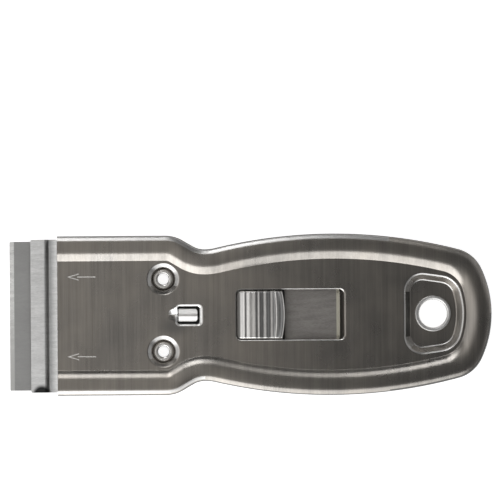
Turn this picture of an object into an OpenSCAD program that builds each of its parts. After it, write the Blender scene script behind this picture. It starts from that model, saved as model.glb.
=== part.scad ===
// Retractable razor blade scraper: two stamped steel half shells held by tubular
// rivets, a sliding blade carrier inside them, and a thumb slide that locks it.
// X runs from the blade edge to the hanging end, Z up out of the face with the thumb slide.

/* [Handle] */
// Distance from the end of the head's straight sides to the narrowest place of the neck
shoulder_len = 10; // [9:0.1:12]
// Width across the neck
neck_w = 33.6; // [31.5:0.1:36]
// Distance from the narrowest place of the neck to the widest of the grip
grip_len = 32.4; // [30:0.1:36]
// Width across the widest place of the grip
grip_w = 41.2; // [38:0.1:46]
// Distance from the thumb slot to the centre of the hanging hole
hang_past = 22.8; // [21:0.1:30]
// Distance from the hanging end to the centre of the hanging hole
hang_from_end = 14.9; // [14.4:0.1:15.5]
// Radius of the bowed hanging end
end_r = 27; // [24:0.5:34]
// Thickness of the whole handle over both rims
handle_t = 8; // [7.6:0.1:10]

/* [Sheet and rim] */
// Thickness of the shell sheet
sheet_t = 0.7; // [0.5:0.05:0.8]
// Depth of the middle panel below the rim
panel_drop = 1.4; // [1.2:0.05:1.5]
// Width of the flat along the top of the rim
crest_flat = 0.4; // [0.3:0.1:0.8]

/* [Blade] */
// Length of the blade's cutting edge
blade_w = 38.1; // [36:0.1:42]
// Height of the blade, edge to back
blade_h = 19; // [18:0.1:21]
// Thickness of the blade
blade_t = 0.23; // [0.2:0.01:0.4]
// Height of the folded spine on the back of the blade
spine_h = 4.8; // [4:0.1:5.2]
// Thickness of the folded spine
spine_t = 1.1; // [1:0.05:1.25]
// How far the edge stands out of the mouth
blade_out = 12.3; // [11:0.1:12.8]
// How far the edge lies inside the mouth when it is put away
edge_cover = 2.6; // [2:0.1:3.5]

/* [Carrier and slide] */
// Thickness of the carrier's sheet
jaw_t = 0.7; // [0.6:0.05:0.75]
// Thickness of the slide strip
strip_t = 0.6; // [0.5:0.05:0.7]
// Width of the slide strip between the rivet dimples
strip_w = 9.6; // [9:0.1:10.5]

/* [Thumb pad] */
// Length of the thumb pad
pad_len = 12; // [11:0.1:14]
// Width of the slot that the thumb pad runs in
slot_w = 12.7; // [12:0.1:15]
// Height of the thumb pad above the rim
pad_proud = 0.7; // [0.3:0.1:1.5]
// Number of ribs across the thumb pad
rib_count = 6; // [3:1:8]

/* [Rivets and hanging hole] */
// Diameter of the hole through a shell rivet
rivet_hole_d = 2.75; // [2.4:0.05:3]
// Diameter of the rolled head of a shell rivet
rivet_head_d = 4.7; // [4.4:0.1:4.7]
// Diameter of the hanging hole inside its eyelet
hang_hole_d = 7.1; // [6:0.1:7.6]
// Diameter of the rolled ring of the eyelet
eyelet_d = 9.2; // [8.8:0.1:10]

/* [Hidden] */
$fn = 64;
// One overrun serves every cut
cut = 0.5;
steel = [0.62, 0.61, 0.59];
bright = [0.8, 0.8, 0.8];
// Degrees of turn for one short side of a bend, and for one of a curve seen from above,
// whose sides are no longer than a chord
bend_angle = 14;
curve_angle = 8;
chord = 6;
// Degrees of turn for one side of the pocket's outline
pocket_angle = 13;

// Places along the handle, counted from the mouth: blade and carrier, how far they travel,
// the rivets behind the carrier when it is put away, the latch window, the slot and the hole
edge_x = -blade_out;
spine_end = edge_x + blade_h;
jaw_past = 0.7;
jaw_end = spine_end + jaw_past;
travel = blade_out + edge_cover;
put_away_at = jaw_end + travel;
dimple_r = 4.3;
dimple_clear = 0.4;
rivet_at = put_away_at + dimple_clear + dimple_r;
head_past = 5.3;
head_len = put_away_at + head_past;
neck_at = head_len + shoulder_len;
grip_at = neck_at + grip_len;
window_past = 3.6;
window_at = rivet_at + window_past;
nose_catch = 0.2;
slot_at = window_at + travel + nose_catch;
pad_front_gap = 0.3;
pad_rear_gap = 0.2;
slot_len = pad_front_gap + pad_len + travel + pad_rear_gap;
hang_at = slot_at + slot_len + hang_past;
handle_len = hang_at + hang_from_end;

// Widths: the jaws stand past the blade, and the head is as wide as lets them slide
jaw_side = 0.5;
jaw_gap = 0.1;
jaw_w = blade_w + 2 * jaw_side;
head_w = jaw_w + 2 * (jaw_gap + sheet_t);
strip_clear = 0.15;
rivet_gap = strip_w + 2 * (strip_clear + dimple_r);
tail_lap = 0.65;
tail_w = slot_w + 2 * tail_lap;

// A path is a start, a heading and a list of moves: [straight length, bend radius, turn].
// A turn to the right is negative. Each point of a path carries its heading.
function along(p, h, s) = [p.x + s * cos(h), p.y + s * sin(h)];
function on(c, r, a) = [c.x + r * cos(a), c.y + r * sin(a)];
function dir(a, b) = atan2(b.y - a.y, b.x - a.x);
function flip(v) = [for (i = [len(v) - 1:-1:0]) v[i]];
function steps_of(turn, step) = max(1, ceil(abs(turn) / step - 0.001));
function bend_point(p, h, r, turn) =
    let (side = sign(turn)) along(along(p, h + side * 90, r), h + turn - side * 90, r);
function path(p, h, moves, i = 0) =
    i == len(moves) ? [[p, h]] :
    let (q = along(p, h, moves[i][0]), r = moves[i][1], turn = moves[i][2], n = steps_of(turn, bend_angle),
         last = turn == 0 ? q : bend_point(q, h, r, turn))
    concat(
        moves[i][0] > 0 ? [[p, h]] : [],
        turn == 0 ? [] : [for (k = [0:n - 1]) [k == 0 ? q : bend_point(q, h, r, turn * k / n), h + turn * k / n]],
        path(last, h + turn, moves, i + 1));
function left_face(p) = [for (s = p) s[0]];
function right_face(p, t) = [for (s = p) along(s[0], s[1] - 90, t)];
// Both faces of a sheet whose left face follows the path
function sheet(p, t) = concat(left_face(p), flip(right_face(p, t)));

// Straight part of a slope that falls by drop between two bends, and how far the slope reaches
function slope_len(drop, r_top, r_foot, turn) = (drop - (r_top + r_foot) * (1 - cos(turn))) / sin(turn);
function slope_run(drop, r_top, r_foot, turn) =
    (r_top + r_foot) * sin(turn) + slope_len(drop, r_top, r_foot, turn) * cos(turn);

// Levels of the two panels and of the floors, where the shells meet
mid_z = handle_t / 2;
panel_z = handle_t - panel_drop;
panel_under = panel_z - sheet_t;
floor_z = mid_z + sheet_t;
floor_drop = panel_z - floor_z;
mouth_x = (blade_out - handle_len) / 2;

// Rim: the skirt turns over a corner into a domed crest and slopes down to the panel
corner_r = 0.9;
dome_r = 4.2;
dome_turn = 28;
slope_top_r = 4.4;
slope_foot_r = 0.5;
slope_turn = 33;
crest_run = corner_r * (1 - sin(dome_turn)) + dome_r * sin(dome_turn);
skirt_h = mid_z - corner_r * cos(dome_turn) - dome_r * (1 - cos(dome_turn));
rim_w = crest_run + crest_flat + slope_run(panel_drop, slope_top_r, slope_foot_r, slope_turn);
rim_path = path([0, mid_z], 90, [
    [skirt_h, corner_r, dome_turn - 90],
    [0, dome_r, -dome_turn],
    [crest_flat, slope_top_r, -slope_turn],
    [slope_len(panel_drop, slope_top_r, slope_foot_r, slope_turn), slope_foot_r, slope_turn]]);

// Outline of the handle: a straight, a slope and five tangent arcs on each side
shoulder_r = 8.5;
shoulder_turn = 30;
neck_front_r = 6;
neck_back_r = 12;
butt_r = 9;
grip_rise = (grip_w - neck_w) / 2;
grip_r = ((grip_at - neck_at) ^ 2 / grip_rise + grip_rise) / 2 - neck_back_r;
grip_turn = asin((grip_at - neck_at) / (grip_r + neck_back_r));
grip_c = [grip_at, grip_w / 2 - grip_r];
end_c = [handle_len - end_r, 0];
shoulder_c = [head_len, head_w / 2 - shoulder_r];
neck_front_c = [neck_at, neck_w / 2 + neck_front_r];
neck_back_c = [neck_at, neck_w / 2 + neck_back_r];
// The point that lies ra from a and rb from b, on the outer side
function meet(a, ra, b, rb) =
    let (v = b - a, d = norm(v), k = (ra ^ 2 - rb ^ 2 + d ^ 2) / (2 * d), h = sqrt(ra ^ 2 - k ^ 2), u = v / d)
    a + u * k + [u.y, -u.x] * h;
butt_c = meet(grip_c, grip_r - butt_r, end_c, end_r - butt_r);
butt_start = dir(grip_c, butt_c);
butt_end = dir(end_c, butt_c);

// A chain holds ["line", from, to] and ["arc", centre, radius, from angle, to angle],
// followed with the inside on the right; an arc whose angle grows bulges inward.
// A station is a point of a chain with the unit vector that points inside.
function arc_station(s, a) = [on(s[1], s[2], a), (s[4] < s[3] ? -1 : 1) * [cos(a), sin(a)]];
function line_station(s, p) = let (h = dir(s[1], s[2]) - 90) [p, [cos(h), sin(h)]];
function arc_steps(s, step) = max(steps_of(s[4] - s[3], step), steps_of(s[2] * (s[4] - s[3]) * PI / 180, chord));
function stations(chain, step) = concat(
    [chain[0][0] == "line" ? line_station(chain[0], chain[0][1]) : arc_station(chain[0], chain[0][3])],
    [for (s = chain) each s[0] == "line"
        ? [line_station(s, s[2])]
        : let (n = arc_steps(s, step)) [for (i = [1:n]) arc_station(s, s[3] + (s[4] - s[3]) * i / n)]]);
function opposite(s) = [[s[0].x, -s[0].y], [s[1].x, -s[1].y]];
// Stations of both sides: the upper ones, and the same mirrored but for the last, on the axis
function around(half) = concat(half, [for (i = [len(half) - 2:-1:0]) opposite(half[i])]);
function inset(sts, d) = [for (s = sts) s[0] + s[1] * d];

handle_half = stations([
    ["line", [0, head_w / 2], [head_len, head_w / 2]],
    ["arc", shoulder_c, shoulder_r, 90, 90 - shoulder_turn],
    ["line", on(shoulder_c, shoulder_r, 90 - shoulder_turn), on(neck_front_c, neck_front_r, 270 - shoulder_turn)],
    ["arc", neck_front_c, neck_front_r, 270 - shoulder_turn, 270],
    ["arc", neck_back_c, neck_back_r, 270, 270 + grip_turn],
    ["arc", grip_c, grip_r, 90 + grip_turn, butt_start],
    ["arc", butt_c, butt_r, butt_start, butt_end],
    ["arc", end_c, end_r, butt_end, 0]], curve_angle);

// One sheet: a path of [distance inward, height] carried around the stations, with the middle
// filled level with the end of the path. An open sheet has its mouth at the first station.
module pressed(half, section, t, closed) {
    sts = around(half);
    n = len(sts);
    top = left_face(section);
    a = len(top);
    ring = concat(top, flip(right_face(section, t)));
    m = len(ring);
    points = [for (s = sts) each [for (p = ring) [s[0].x + s[1].x * p.x, s[0].y + s[1].y * p.x, p.y]]];
    walls = [for (j = [0:(closed ? n : n - 1) - 1]) each [for (k = [0:m - 1]) if (k != a - 1)
        let (j2 = (j + 1) % n, k2 = (k + 1) % m) [j * m + k, j2 * m + k, j2 * m + k2, j * m + k2]]];
    floors = [for (p = [0:(n - 3) / 2]) each
        let (f = [p, p + 1, n - 2 - p, n - 1 - p]) [[for (i = f) i * m + a - 1], [for (i = flip(f)) i * m + a]]];
    mouth = closed ? [] : concat(
        [for (e = [0, n - 1]) each [for (k = [0:a - 2])
            let (f = [e * m + k, e * m + m - 1 - k, e * m + m - 2 - k, e * m + k + 1]) e == 0 ? flip(f) : f]],
        [[a - 1, (n - 1) * m + a - 1, (n - 1) * m + a, a]]);
    // Quads are given as triangles, and the ones on the axis have only three corners
    polyhedron(points, [for (f = concat(walls, floors, mouth)) each
        [for (i = [1, 2]) if (f[i] != f[i + 1] && f[0] != f[i + 1]) [f[0], f[i], f[i + 1]]]]);
}

// Cups pressed down to the middle, where the two shells meet under the rivets and the eyelet
dimple_top_r = 1.5;
dimple_foot_r = 0.35;
dimple_turn = 78;
dimple_run = slope_run(floor_drop, dimple_top_r, dimple_foot_r, dimple_turn);
dimple_path = path([0, panel_z], 0, [
    [0, dimple_top_r, -dimple_turn],
    [slope_len(floor_drop, dimple_top_r, dimple_foot_r, dimple_turn), dimple_foot_r, dimple_turn],
    [dimple_r - dimple_run, 0, 0]]);
pocket_top_r = 0.85;
pocket_foot_r = 0.6;
pocket_turn = 50;
pocket_path = path([0, panel_z], 0, [
    [0, pocket_top_r, -pocket_turn],
    [slope_len(floor_drop, pocket_top_r, pocket_foot_r, pocket_turn), pocket_foot_r, pocket_turn]]);

// Pocket round the hanging hole: straight in front, drawn in with the handle, bowed behind
pocket_r = 5;
pocket_back_r = 6;
pocket_front = 7.7;
pocket_half = 10.6;
pocket_back_half = 10;
pocket_back_gap = 0.4;
pocket_front_c = [hang_at - pocket_front + pocket_r, pocket_half - pocket_r];
pocket_end_r = end_r - rim_w - pocket_back_gap;
pocket_back_y = pocket_back_half - pocket_back_r;
pocket_back_c = [end_c.x + sqrt((pocket_end_r - pocket_back_r) ^ 2 - pocket_back_y ^ 2), pocket_back_y];
pocket_slope = dir(pocket_front_c, pocket_back_c) + asin((pocket_back_r - pocket_r) / norm(pocket_back_c - pocket_front_c));
pocket_back_turn = dir(end_c, pocket_back_c);
pocket_half_stations = stations([
    ["arc", pocket_front_c, pocket_r, 180, 90 + pocket_slope],
    ["line", on(pocket_front_c, pocket_r, 90 + pocket_slope), on(pocket_back_c, pocket_back_r, 90 + pocket_slope)],
    ["arc", pocket_back_c, pocket_back_r, 90 + pocket_slope, pocket_back_turn],
    ["arc", end_c, pocket_end_r, pocket_back_turn, 0]], pocket_angle);

// Tubular rivets and the eyelet
barrel_gap = 0.05;
rivet_wall = 0.35;
rivet_head_t = 0.45;
rivet_barrel_r = rivet_hole_d / 2 + rivet_wall;
eyelet_wall = 0.4;
eyelet_head_t = 0.6;
eyelet_barrel_r = hang_hole_d / 2 + eyelet_wall;

// Latch window, its pressed ramp and the bevelled edges of both openings
window_len = 5.7;
window_w = 4.5;
window_r = 0.6;
slot_r = 1.2;
slot_bevel = 0.3;
window_bevel = 0.55;
bevel_depth = 0.35;
ramp_len = 1.8;
ramp_half = 2.2;
ramp_drop = 0.35;

// Corner points of a rectangle from x0 to x1, centred on the axis, with round corners
corner_steps = 5;
function round_rect(x0, x1, w, r) = [for (q = [[x1, 1, 0], [x0, 1, 90], [x0, -1, 180], [x1, -1, 270]]) each
    let (c = [q[0] + (q[0] == x1 ? -r : r), q[1] * (w / 2 - r)])
    [for (i = [0:corner_steps]) on(c, r, q[2] + 90 * i / corner_steps)]];
module plate(z0, z1, points) translate([0, 0, z0]) linear_extrude(z1 - z0) polygon(points);
// A profile drawn in X and Z, as wide as w across the axis
module across(w, points) translate([0, w / 2, 0]) rotate([90, 0, 0]) linear_extrude(w) polygon(points);

// Opening through the panel with a bevel along its upper edge
module opening(x0, x1, w, r, bevel) {
    plate(panel_under - cut, panel_z + cut, round_rect(x0, x1, w, r));
    hull() {
        plate(panel_z, panel_z + cut, round_rect(x0 - bevel, x1 + bevel, w + 2 * bevel, r + bevel));
        plate(panel_z - bevel_depth, panel_z, round_rect(x0, x1, w, r));
    }
}
module at_rivets() for (side = [-1, 1]) translate([rivet_at, side * rivet_gap / 2, 0]) children();
module dimple() {
    difference() {
        rotate_extrude() polygon([for (p = sheet(dimple_path, sheet_t)) [dimple_r - p.x, p.y]]);
        translate([0, 0, mid_z - cut]) cylinder(r = rivet_barrel_r + barrel_gap, h = sheet_t + 2 * cut);
    }
}
module pocket() {
    difference() {
        pressed(pocket_half_stations, pocket_path, sheet_t, true);
        translate([hang_at, 0, mid_z - cut]) cylinder(r = eyelet_barrel_r + barrel_gap, h = sheet_t + 2 * cut);
    }
}
// The half that both shells share
module half_shell() {
    difference() {
        pressed(handle_half, rim_path, sheet_t, false);
        at_rivets() translate([0, 0, panel_under - cut]) cylinder(r = dimple_r, h = sheet_t + 2 * cut);
        plate(panel_under - cut, panel_z + cut, inset(around(pocket_half_stations), 0));
    }
    at_rivets() dimple();
    pocket();
}
// Dent whose two faces meet in a valley that falls to the edge of the window
module ramp_wedge(level, lift) {
    polyhedron(
        [[window_at - ramp_len, 0, level], [window_at, ramp_half, level], [window_at, -ramp_half, level],
         [window_at, 0, level - ramp_drop], [window_at, 0, level + lift]],
        [[0, 3, 1], [0, 2, 3], [1, 3, 4], [3, 2, 4], [0, 1, 4], [0, 4, 2]]);
}
module front_shell() color(steel) {
    difference() {
        union() {
            half_shell();
            ramp_wedge(panel_under, sheet_t / 2);
        }
        opening(slot_at, slot_at + slot_len, slot_w, slot_r, slot_bevel);
        opening(window_at, window_at + window_len, window_w, window_r, window_bevel);
        ramp_wedge(panel_z, sheet_t / 2);
    }
}
module back_shell() color(steel) translate([0, 0, handle_t]) mirror([0, 0, 1]) half_shell();

// Heights inside, from the back panel up to the front one
slide_gap = 0.1;
seat_gap = 0.05;
carrier_z = panel_drop + sheet_t + slide_gap;
jaw_floor_z = carrier_z + jaw_t;
spine_z = jaw_floor_z + seat_gap;
blade_mid_z = spine_z + spine_t / 2;
groove_under_z = spine_z + spine_t + slide_gap;
groove_drop = 0.8;
jaw_top_z = groove_under_z + jaw_t + groove_drop;

// Blade: its back ends inside the folded spine
spine_wall = 0.4;
bevel_len = 1.15;
edge_t = 0.02;

// Carrier: upper jaw with a pressed groove, lower jaw, two folded ears and a tang
lip_back = 5.45;
lip_x = edge_x + lip_back;
lip_flat = 3.4;
groove_top_r = 0.8;
groove_foot_r = 0.5;
groove_front_turn = 45;
groove_back_turn = 25;
lower_lip_back = 0.4;
ear_w = 5.7;
ear_lap = 0.4;
ear_gap = 0.2;
ear_fold_x = spine_end + ear_gap;
ear_r = (jaw_top_z - carrier_z) / 2;
groove_run = slope_run(groove_drop, groove_top_r, groove_foot_r, groove_front_turn)
    + slope_run(groove_drop, groove_top_r, groove_foot_r, groove_back_turn);
upper_jaw_path = path([lip_x, jaw_top_z], 0, [
    [lip_flat, groove_top_r, -groove_front_turn],
    [slope_len(groove_drop, groove_top_r, groove_foot_r, groove_front_turn), groove_foot_r, groove_front_turn],
    [0, groove_foot_r, groove_back_turn],
    [slope_len(groove_drop, groove_top_r, groove_foot_r, groove_back_turn), groove_top_r, -groove_back_turn],
    [jaw_end - lip_x - lip_flat - groove_run, 0, 0]]);
ear_path = path([ear_fold_x - ear_lap, jaw_top_z], 0, [[ear_lap, ear_r, -180], [ear_lap, 0, 0]]);

// Slide strip: its foot is riveted on the tang with play enough to rock when the pad is pressed
tilt_gap = 0.1;
foot_past = 5;
foot_at = jaw_end + foot_past;
foot_half = 2.1;
tang_past = 2.0;
foot_rivet_gap = 5.2;
foot_rivet_r = 0.8;
foot_head_r = 1.4;
foot_head_t = 0.6;
foot_sink_r = 1.3;
foot_sink = 0.5;
rivet_play = 0.12;
pad_base_t = 0.65;
pad_guide_gap = 0.15;
strip_top_z = panel_under - pad_guide_gap - pad_base_t;
strip_z = strip_top_z - strip_t;
foot_top_z = jaw_floor_z + tilt_gap + strip_t;
strip_bend_r = 0.9;
strip_turn = 30;
foot_run = 2.4;
strip_path = path([foot_at - foot_half, foot_top_z], 0, [
    [foot_half + foot_run, strip_bend_r, strip_turn],
    [slope_len(strip_top_z - foot_top_z, strip_bend_r, strip_bend_r, strip_turn), strip_bend_r, -strip_turn],
    [slot_at - foot_at - foot_run, 0, 0]]);
tail_front = 0.6;
tail_short = 1;
tail_at = slot_at - tail_front;
tail_end = slot_at + slot_len - tail_short;
tail_r = 1.5;
stop_len = 0.9;
stop_h = 0.35;

// Lock spring: a leaf over an opening in the strip, with the nose that stands in the window
leaf_t = 0.35;
leaf_w = 5;
leaf_r = 0.8;
leaf_ahead = 2.2;
leaf_reach = 5.2;
leaf_past = 2.3;
leaf_front = window_at - leaf_ahead;
leaf_rivet_at = window_at + window_len + leaf_reach;
leaf_back = leaf_rivet_at + leaf_past;
leaf_top_z = strip_top_z + leaf_t;
leaf_side_gap = 0.4;
leaf_hole_past = 1.6;
nose_front_gap = 0.3;
nose_back_gap = 0.6;
nose_side_gap = 0.5;
nose_below = 0.2;
nose_r = 0.9;
nose_x0 = window_at + nose_front_gap;
nose_x1 = window_at + window_len - nose_back_gap;
nose_half = window_w / 2 - nose_side_gap;
nose_rise = panel_z - nose_below - leaf_top_z;
nose_edge_r = 0.3;
nose_ridge_r = 1.1;
nose_turn = 25;
spring_rivet_r = 0.6;
spring_head_r = 1.1;
spring_head_t = 0.3;

// Thumb pad: an arched top with ribs, over a flange that runs under the slot's edges
pad_side_gap = 0.3;
pad_x0 = slot_at + pad_front_gap;
pad_x1 = pad_x0 + pad_len;
pad_w = slot_w - 2 * pad_side_gap;
pad_base_side = 0.1;
pad_base_w = tail_w - 2 * pad_base_side;
pad_base_z = strip_top_z + pad_base_t;
pad_top_z = handle_t + pad_proud;
pad_peak_share = 0.36;
pad_rear_drop = 1.1;
pad_front_drop = 1.5;
rib_h = 0.32;
pad_steps = 72;
pad_bow = 0.7;
pad_plan_r = 1.1;
stud_r = 1;
stud_gap = 0.05;
stud_head_r = 1.6;
stud_head_t = 0.4;
stud_inset = 3.2;

// A solid rivet turned round its axis: shank from z0 to z1 with a domed head above
module headed(z0, z1, r, head_r, head_t) {
    rotate_extrude() polygon(concat(
        [[0, z0], [r, z0], [r, z1], [head_r, z1]],
        [for (i = [1:4]) let (a = 90 * i / 4) [head_r * cos(a), z1 + head_t * sin(a)]]));
}
// A tube with rolled heads on both sides of a grip centred on the middle of the handle
module tubular(hole_r, barrel_r, head_r, head_t) {
    roll = head_t / 2;
    upper = concat(
        [[hole_r, 0], [hole_r, sheet_t]],
        [for (i = [0:5]) let (a = 180 - 18 * i) on([hole_r + head_t, sheet_t], head_t, a)],
        [for (i = [0:5]) let (a = 90 - 18 * i) on([head_r - roll, sheet_t + roll], roll, a)],
        [[head_r, sheet_t], [barrel_r, sheet_t], [barrel_r, 0]]);
    translate([0, 0, mid_z]) rotate_extrude()
        polygon(concat(upper, flip([for (p = upper) if (p.y > 0) [p.x, -p.y]])));
}
module shell_rivets() color(bright)
    at_rivets() tubular(rivet_hole_d / 2, rivet_barrel_r, rivet_head_d / 2, rivet_head_t);
module hang_eyelet() color(bright)
    translate([hang_at, 0, 0]) tubular(hang_hole_d / 2, eyelet_barrel_r, eyelet_d / 2, eyelet_head_t);

module at_foot_rivets() for (side = [-1, 1]) translate([foot_at, side * foot_rivet_gap / 2, 0]) children();
module blade_carrier() color(steel) {
    difference() {
        union() {
            across(jaw_w, sheet(upper_jaw_path, jaw_t));
            plate(carrier_z, jaw_floor_z, [
                [lip_x + lower_lip_back, jaw_w / 2], [lip_x + lower_lip_back, -jaw_w / 2], [jaw_end, -jaw_w / 2],
                [jaw_end, -strip_w / 2], [foot_at + tang_past, -strip_w / 2], [foot_at + tang_past, strip_w / 2],
                [jaw_end, strip_w / 2], [jaw_end, jaw_w / 2]]);
            for (side = [-1, 1]) translate([0, side * (jaw_w - ear_w) / 2, 0]) across(ear_w, sheet(ear_path, jaw_t));
        }
        at_foot_rivets() translate([0, 0, carrier_z]) {
            translate([0, 0, -cut]) cylinder(r = foot_rivet_r, h = jaw_t + 2 * cut);
            cylinder(r1 = foot_sink_r, r2 = foot_rivet_r, h = foot_sink);
        }
    }
}
module carrier_rivets() color(bright) at_foot_rivets() {
    headed(carrier_z, foot_top_z + tilt_gap, foot_rivet_r, foot_head_r, foot_head_t);
    translate([0, 0, carrier_z]) cylinder(r1 = foot_sink_r, r2 = foot_rivet_r, h = foot_sink);
}
module slide_strip() color(steel) {
    difference() {
        union() {
            across(strip_w, sheet(strip_path, strip_t));
            plate(strip_z, strip_top_z, round_rect(tail_at, tail_end, tail_w, tail_r));
            plate(strip_z, strip_top_z + stop_h, [
                [tail_end - stop_len, tail_w / 2 - tail_r], [tail_end - stop_len, tail_r - tail_w / 2],
                [tail_end, tail_r - tail_w / 2], [tail_end, tail_w / 2 - tail_r]]);
        }
        at_foot_rivets() translate([0, 0, carrier_z]) cylinder(r = foot_rivet_r + rivet_play, h = handle_t);
        plate(strip_z - cut, handle_t, round_rect(leaf_front - leaf_hole_past, window_at + window_len + leaf_hole_past,
            leaf_w + 2 * leaf_side_gap, leaf_r));
        translate([leaf_rivet_at, 0, strip_z - cut]) cylinder(r = spring_rivet_r, h = handle_t);
        at_studs() translate([0, 0, strip_z - cut]) cylinder(r = stud_r + stud_gap, h = handle_t);
    }
}
// Nose seen along the handle: a low roof with a rounded ridge
nose_slope = (nose_half - nose_edge_r * (1 - sin(nose_turn)) - nose_ridge_r * sin(nose_turn)) / cos(nose_turn);
nose_skirt = nose_rise - nose_edge_r * cos(nose_turn) - nose_slope * sin(nose_turn) - nose_ridge_r * (1 - cos(nose_turn));
nose_section = left_face(path([-nose_half, 0], 90, [
    [nose_skirt, nose_edge_r, nose_turn - 90],
    [nose_slope, nose_ridge_r, -2 * nose_turn],
    [nose_slope, nose_edge_r, nose_turn - 90],
    [nose_skirt, 0, 0]]));
module lock_spring() color(bright) {
    difference() {
        plate(strip_top_z, leaf_top_z, round_rect(leaf_front, leaf_back, leaf_w, leaf_r));
        translate([leaf_rivet_at, 0, strip_top_z - cut]) cylinder(r = spring_rivet_r, h = handle_t);
    }
    intersection() {
        translate([nose_x0, 0, leaf_top_z]) rotate([90, 0, 90]) linear_extrude(nose_x1 - nose_x0) polygon(nose_section);
        plate(leaf_top_z, panel_z, round_rect(nose_x0 - nose_r, nose_x1, 2 * nose_half, nose_r));
    }
}
module spring_rivet() color(bright) translate([leaf_rivet_at, 0, 0]) {
    headed(strip_z, leaf_top_z, spring_rivet_r, spring_head_r, spring_head_t);
    mirror([0, 0, 1]) translate([0, 0, -2 * strip_z]) headed(strip_z - seat_gap, strip_z, spring_rivet_r, spring_head_r, spring_head_t);
}

// Height of the pad's arch at a share of its length, and the ribs on it
function arch(s) = s < pad_peak_share
    ? pad_top_z - pad_front_drop * ((pad_peak_share - s) / pad_peak_share) ^ 2
    : pad_top_z - pad_rear_drop * ((s - pad_peak_share) / (1 - pad_peak_share)) ^ 2;
function rib(s) = rib_h * (1 - abs(cos(180 * (rib_count + 1) * s)));
pad_profile = concat([[pad_x1, pad_base_z], [pad_x0, pad_base_z]],
    [for (i = [0:pad_steps]) let (s = i / pad_steps) [pad_x0 + pad_len * s, arch(s) - rib(s)]]);
module at_studs() for (x = [pad_x0 + stud_inset, pad_x1 - stud_inset]) translate([x, 0, 0]) children();
module thumb_button() color(bright) {
    intersection() {
        across(pad_w, pad_profile);
        plate(strip_z, pad_top_z + cut, concat(
            [for (i = [-6:6]) let (y = pad_w / 2 * i / 6) [pad_x1 - pad_bow * (i / 6) ^ 2, y]],
            [[pad_x0 + pad_plan_r, pad_w / 2], [pad_x0, pad_w / 2 - pad_plan_r],
             [pad_x0, pad_plan_r - pad_w / 2], [pad_x0 + pad_plan_r, -pad_w / 2]]));
    }
    plate(strip_top_z, pad_base_z, round_rect(pad_x0, pad_x1, pad_base_w, slot_r));
    at_studs() mirror([0, 0, 1]) translate([0, 0, -strip_z]) headed(-strip_t - seat_gap, 0, stud_r, stud_head_r, stud_head_t);
}
module razor_blade() color([0.62, 0.62, 0.63])
    across(blade_w, [
        [edge_x, blade_mid_z - edge_t / 2], [edge_x + bevel_len, blade_mid_z - blade_t / 2],
        [spine_end - spine_wall, blade_mid_z - blade_t / 2], [spine_end - spine_wall, blade_mid_z + blade_t / 2],
        [edge_x + bevel_len, blade_mid_z + blade_t / 2], [edge_x, blade_mid_z + edge_t / 2]]);
module blade_spine() color([0.5, 0.5, 0.52])
    across(blade_w, concat(
        [[spine_end - spine_h, spine_z], [spine_end - spine_t / 2, spine_z]],
        [for (i = [1:7]) on([spine_end - spine_t / 2, blade_mid_z], spine_t / 2, -90 + 180 * i / 8)],
        [[spine_end - spine_t / 2, spine_z + spine_t], [spine_end - spine_h, spine_z + spine_t],
         [spine_end - spine_h, blade_mid_z + blade_t / 2], [spine_end - spine_wall, blade_mid_z + blade_t / 2],
         [spine_end - spine_wall, blade_mid_z - blade_t / 2], [spine_end - spine_h, blade_mid_z - blade_t / 2]]));

// Every piece is drawn from the mouth and set so that the whole lies centred on the origin
module place() translate([mouth_x, 0, 0]) children();
place() front_shell();
place() back_shell();
place() shell_rivets();
place() hang_eyelet();
place() blade_carrier();
place() carrier_rivets();
place() slide_strip();
place() lock_spring();
place() spring_rivet();
place() thumb_button();
place() razor_blade();
place() blade_spine();
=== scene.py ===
# %% [markdown]
# # Razor blade scraper
# A pocket scraper of stamped stainless steel: two half shells riveted together, a carrier that
# slides out of the mouth with a single edge blade, and a ribbed thumb pad that works it.
# The measured model is loaded first as a fixed frame. Every piece made here takes its place from it.

# %% Load the measured model
import bmesh
import bpy
from math import asin, atan2, ceil, cos, degrees, dist, hypot, pi, radians, sin, sqrt
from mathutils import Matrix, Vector
from mathutils.geometry import tessellate_polygon


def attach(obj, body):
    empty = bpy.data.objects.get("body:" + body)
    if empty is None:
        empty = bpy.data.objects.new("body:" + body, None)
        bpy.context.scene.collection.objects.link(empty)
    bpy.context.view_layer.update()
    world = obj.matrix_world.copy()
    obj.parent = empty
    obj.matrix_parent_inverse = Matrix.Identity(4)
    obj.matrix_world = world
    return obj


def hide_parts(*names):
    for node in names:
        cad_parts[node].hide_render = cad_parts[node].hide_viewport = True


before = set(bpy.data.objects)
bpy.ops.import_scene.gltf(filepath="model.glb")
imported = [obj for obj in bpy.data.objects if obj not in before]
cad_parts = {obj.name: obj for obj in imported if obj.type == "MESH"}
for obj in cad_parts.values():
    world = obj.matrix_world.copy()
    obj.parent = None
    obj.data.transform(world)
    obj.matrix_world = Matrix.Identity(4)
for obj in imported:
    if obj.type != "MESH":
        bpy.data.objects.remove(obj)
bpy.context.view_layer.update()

MM = 0.001
MOUTH_X = -49.25


# %% [markdown]
# ## Tracing bent sheet
# Stamped and folded parts are all one sheet that follows a bent line. A small tracer walks along
# straights and bends, so the same few numbers give the rim, the dimples, the pocket and the jaws.
# Boolean cuts would be quicker to write, but they leave ragged shading on polished metal.

# %% Trace a line of straights and bends
def ahead(point, heading, distance):
    turn = radians(heading)
    return (point[0] + distance * cos(turn), point[1] + distance * sin(turn))


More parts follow.
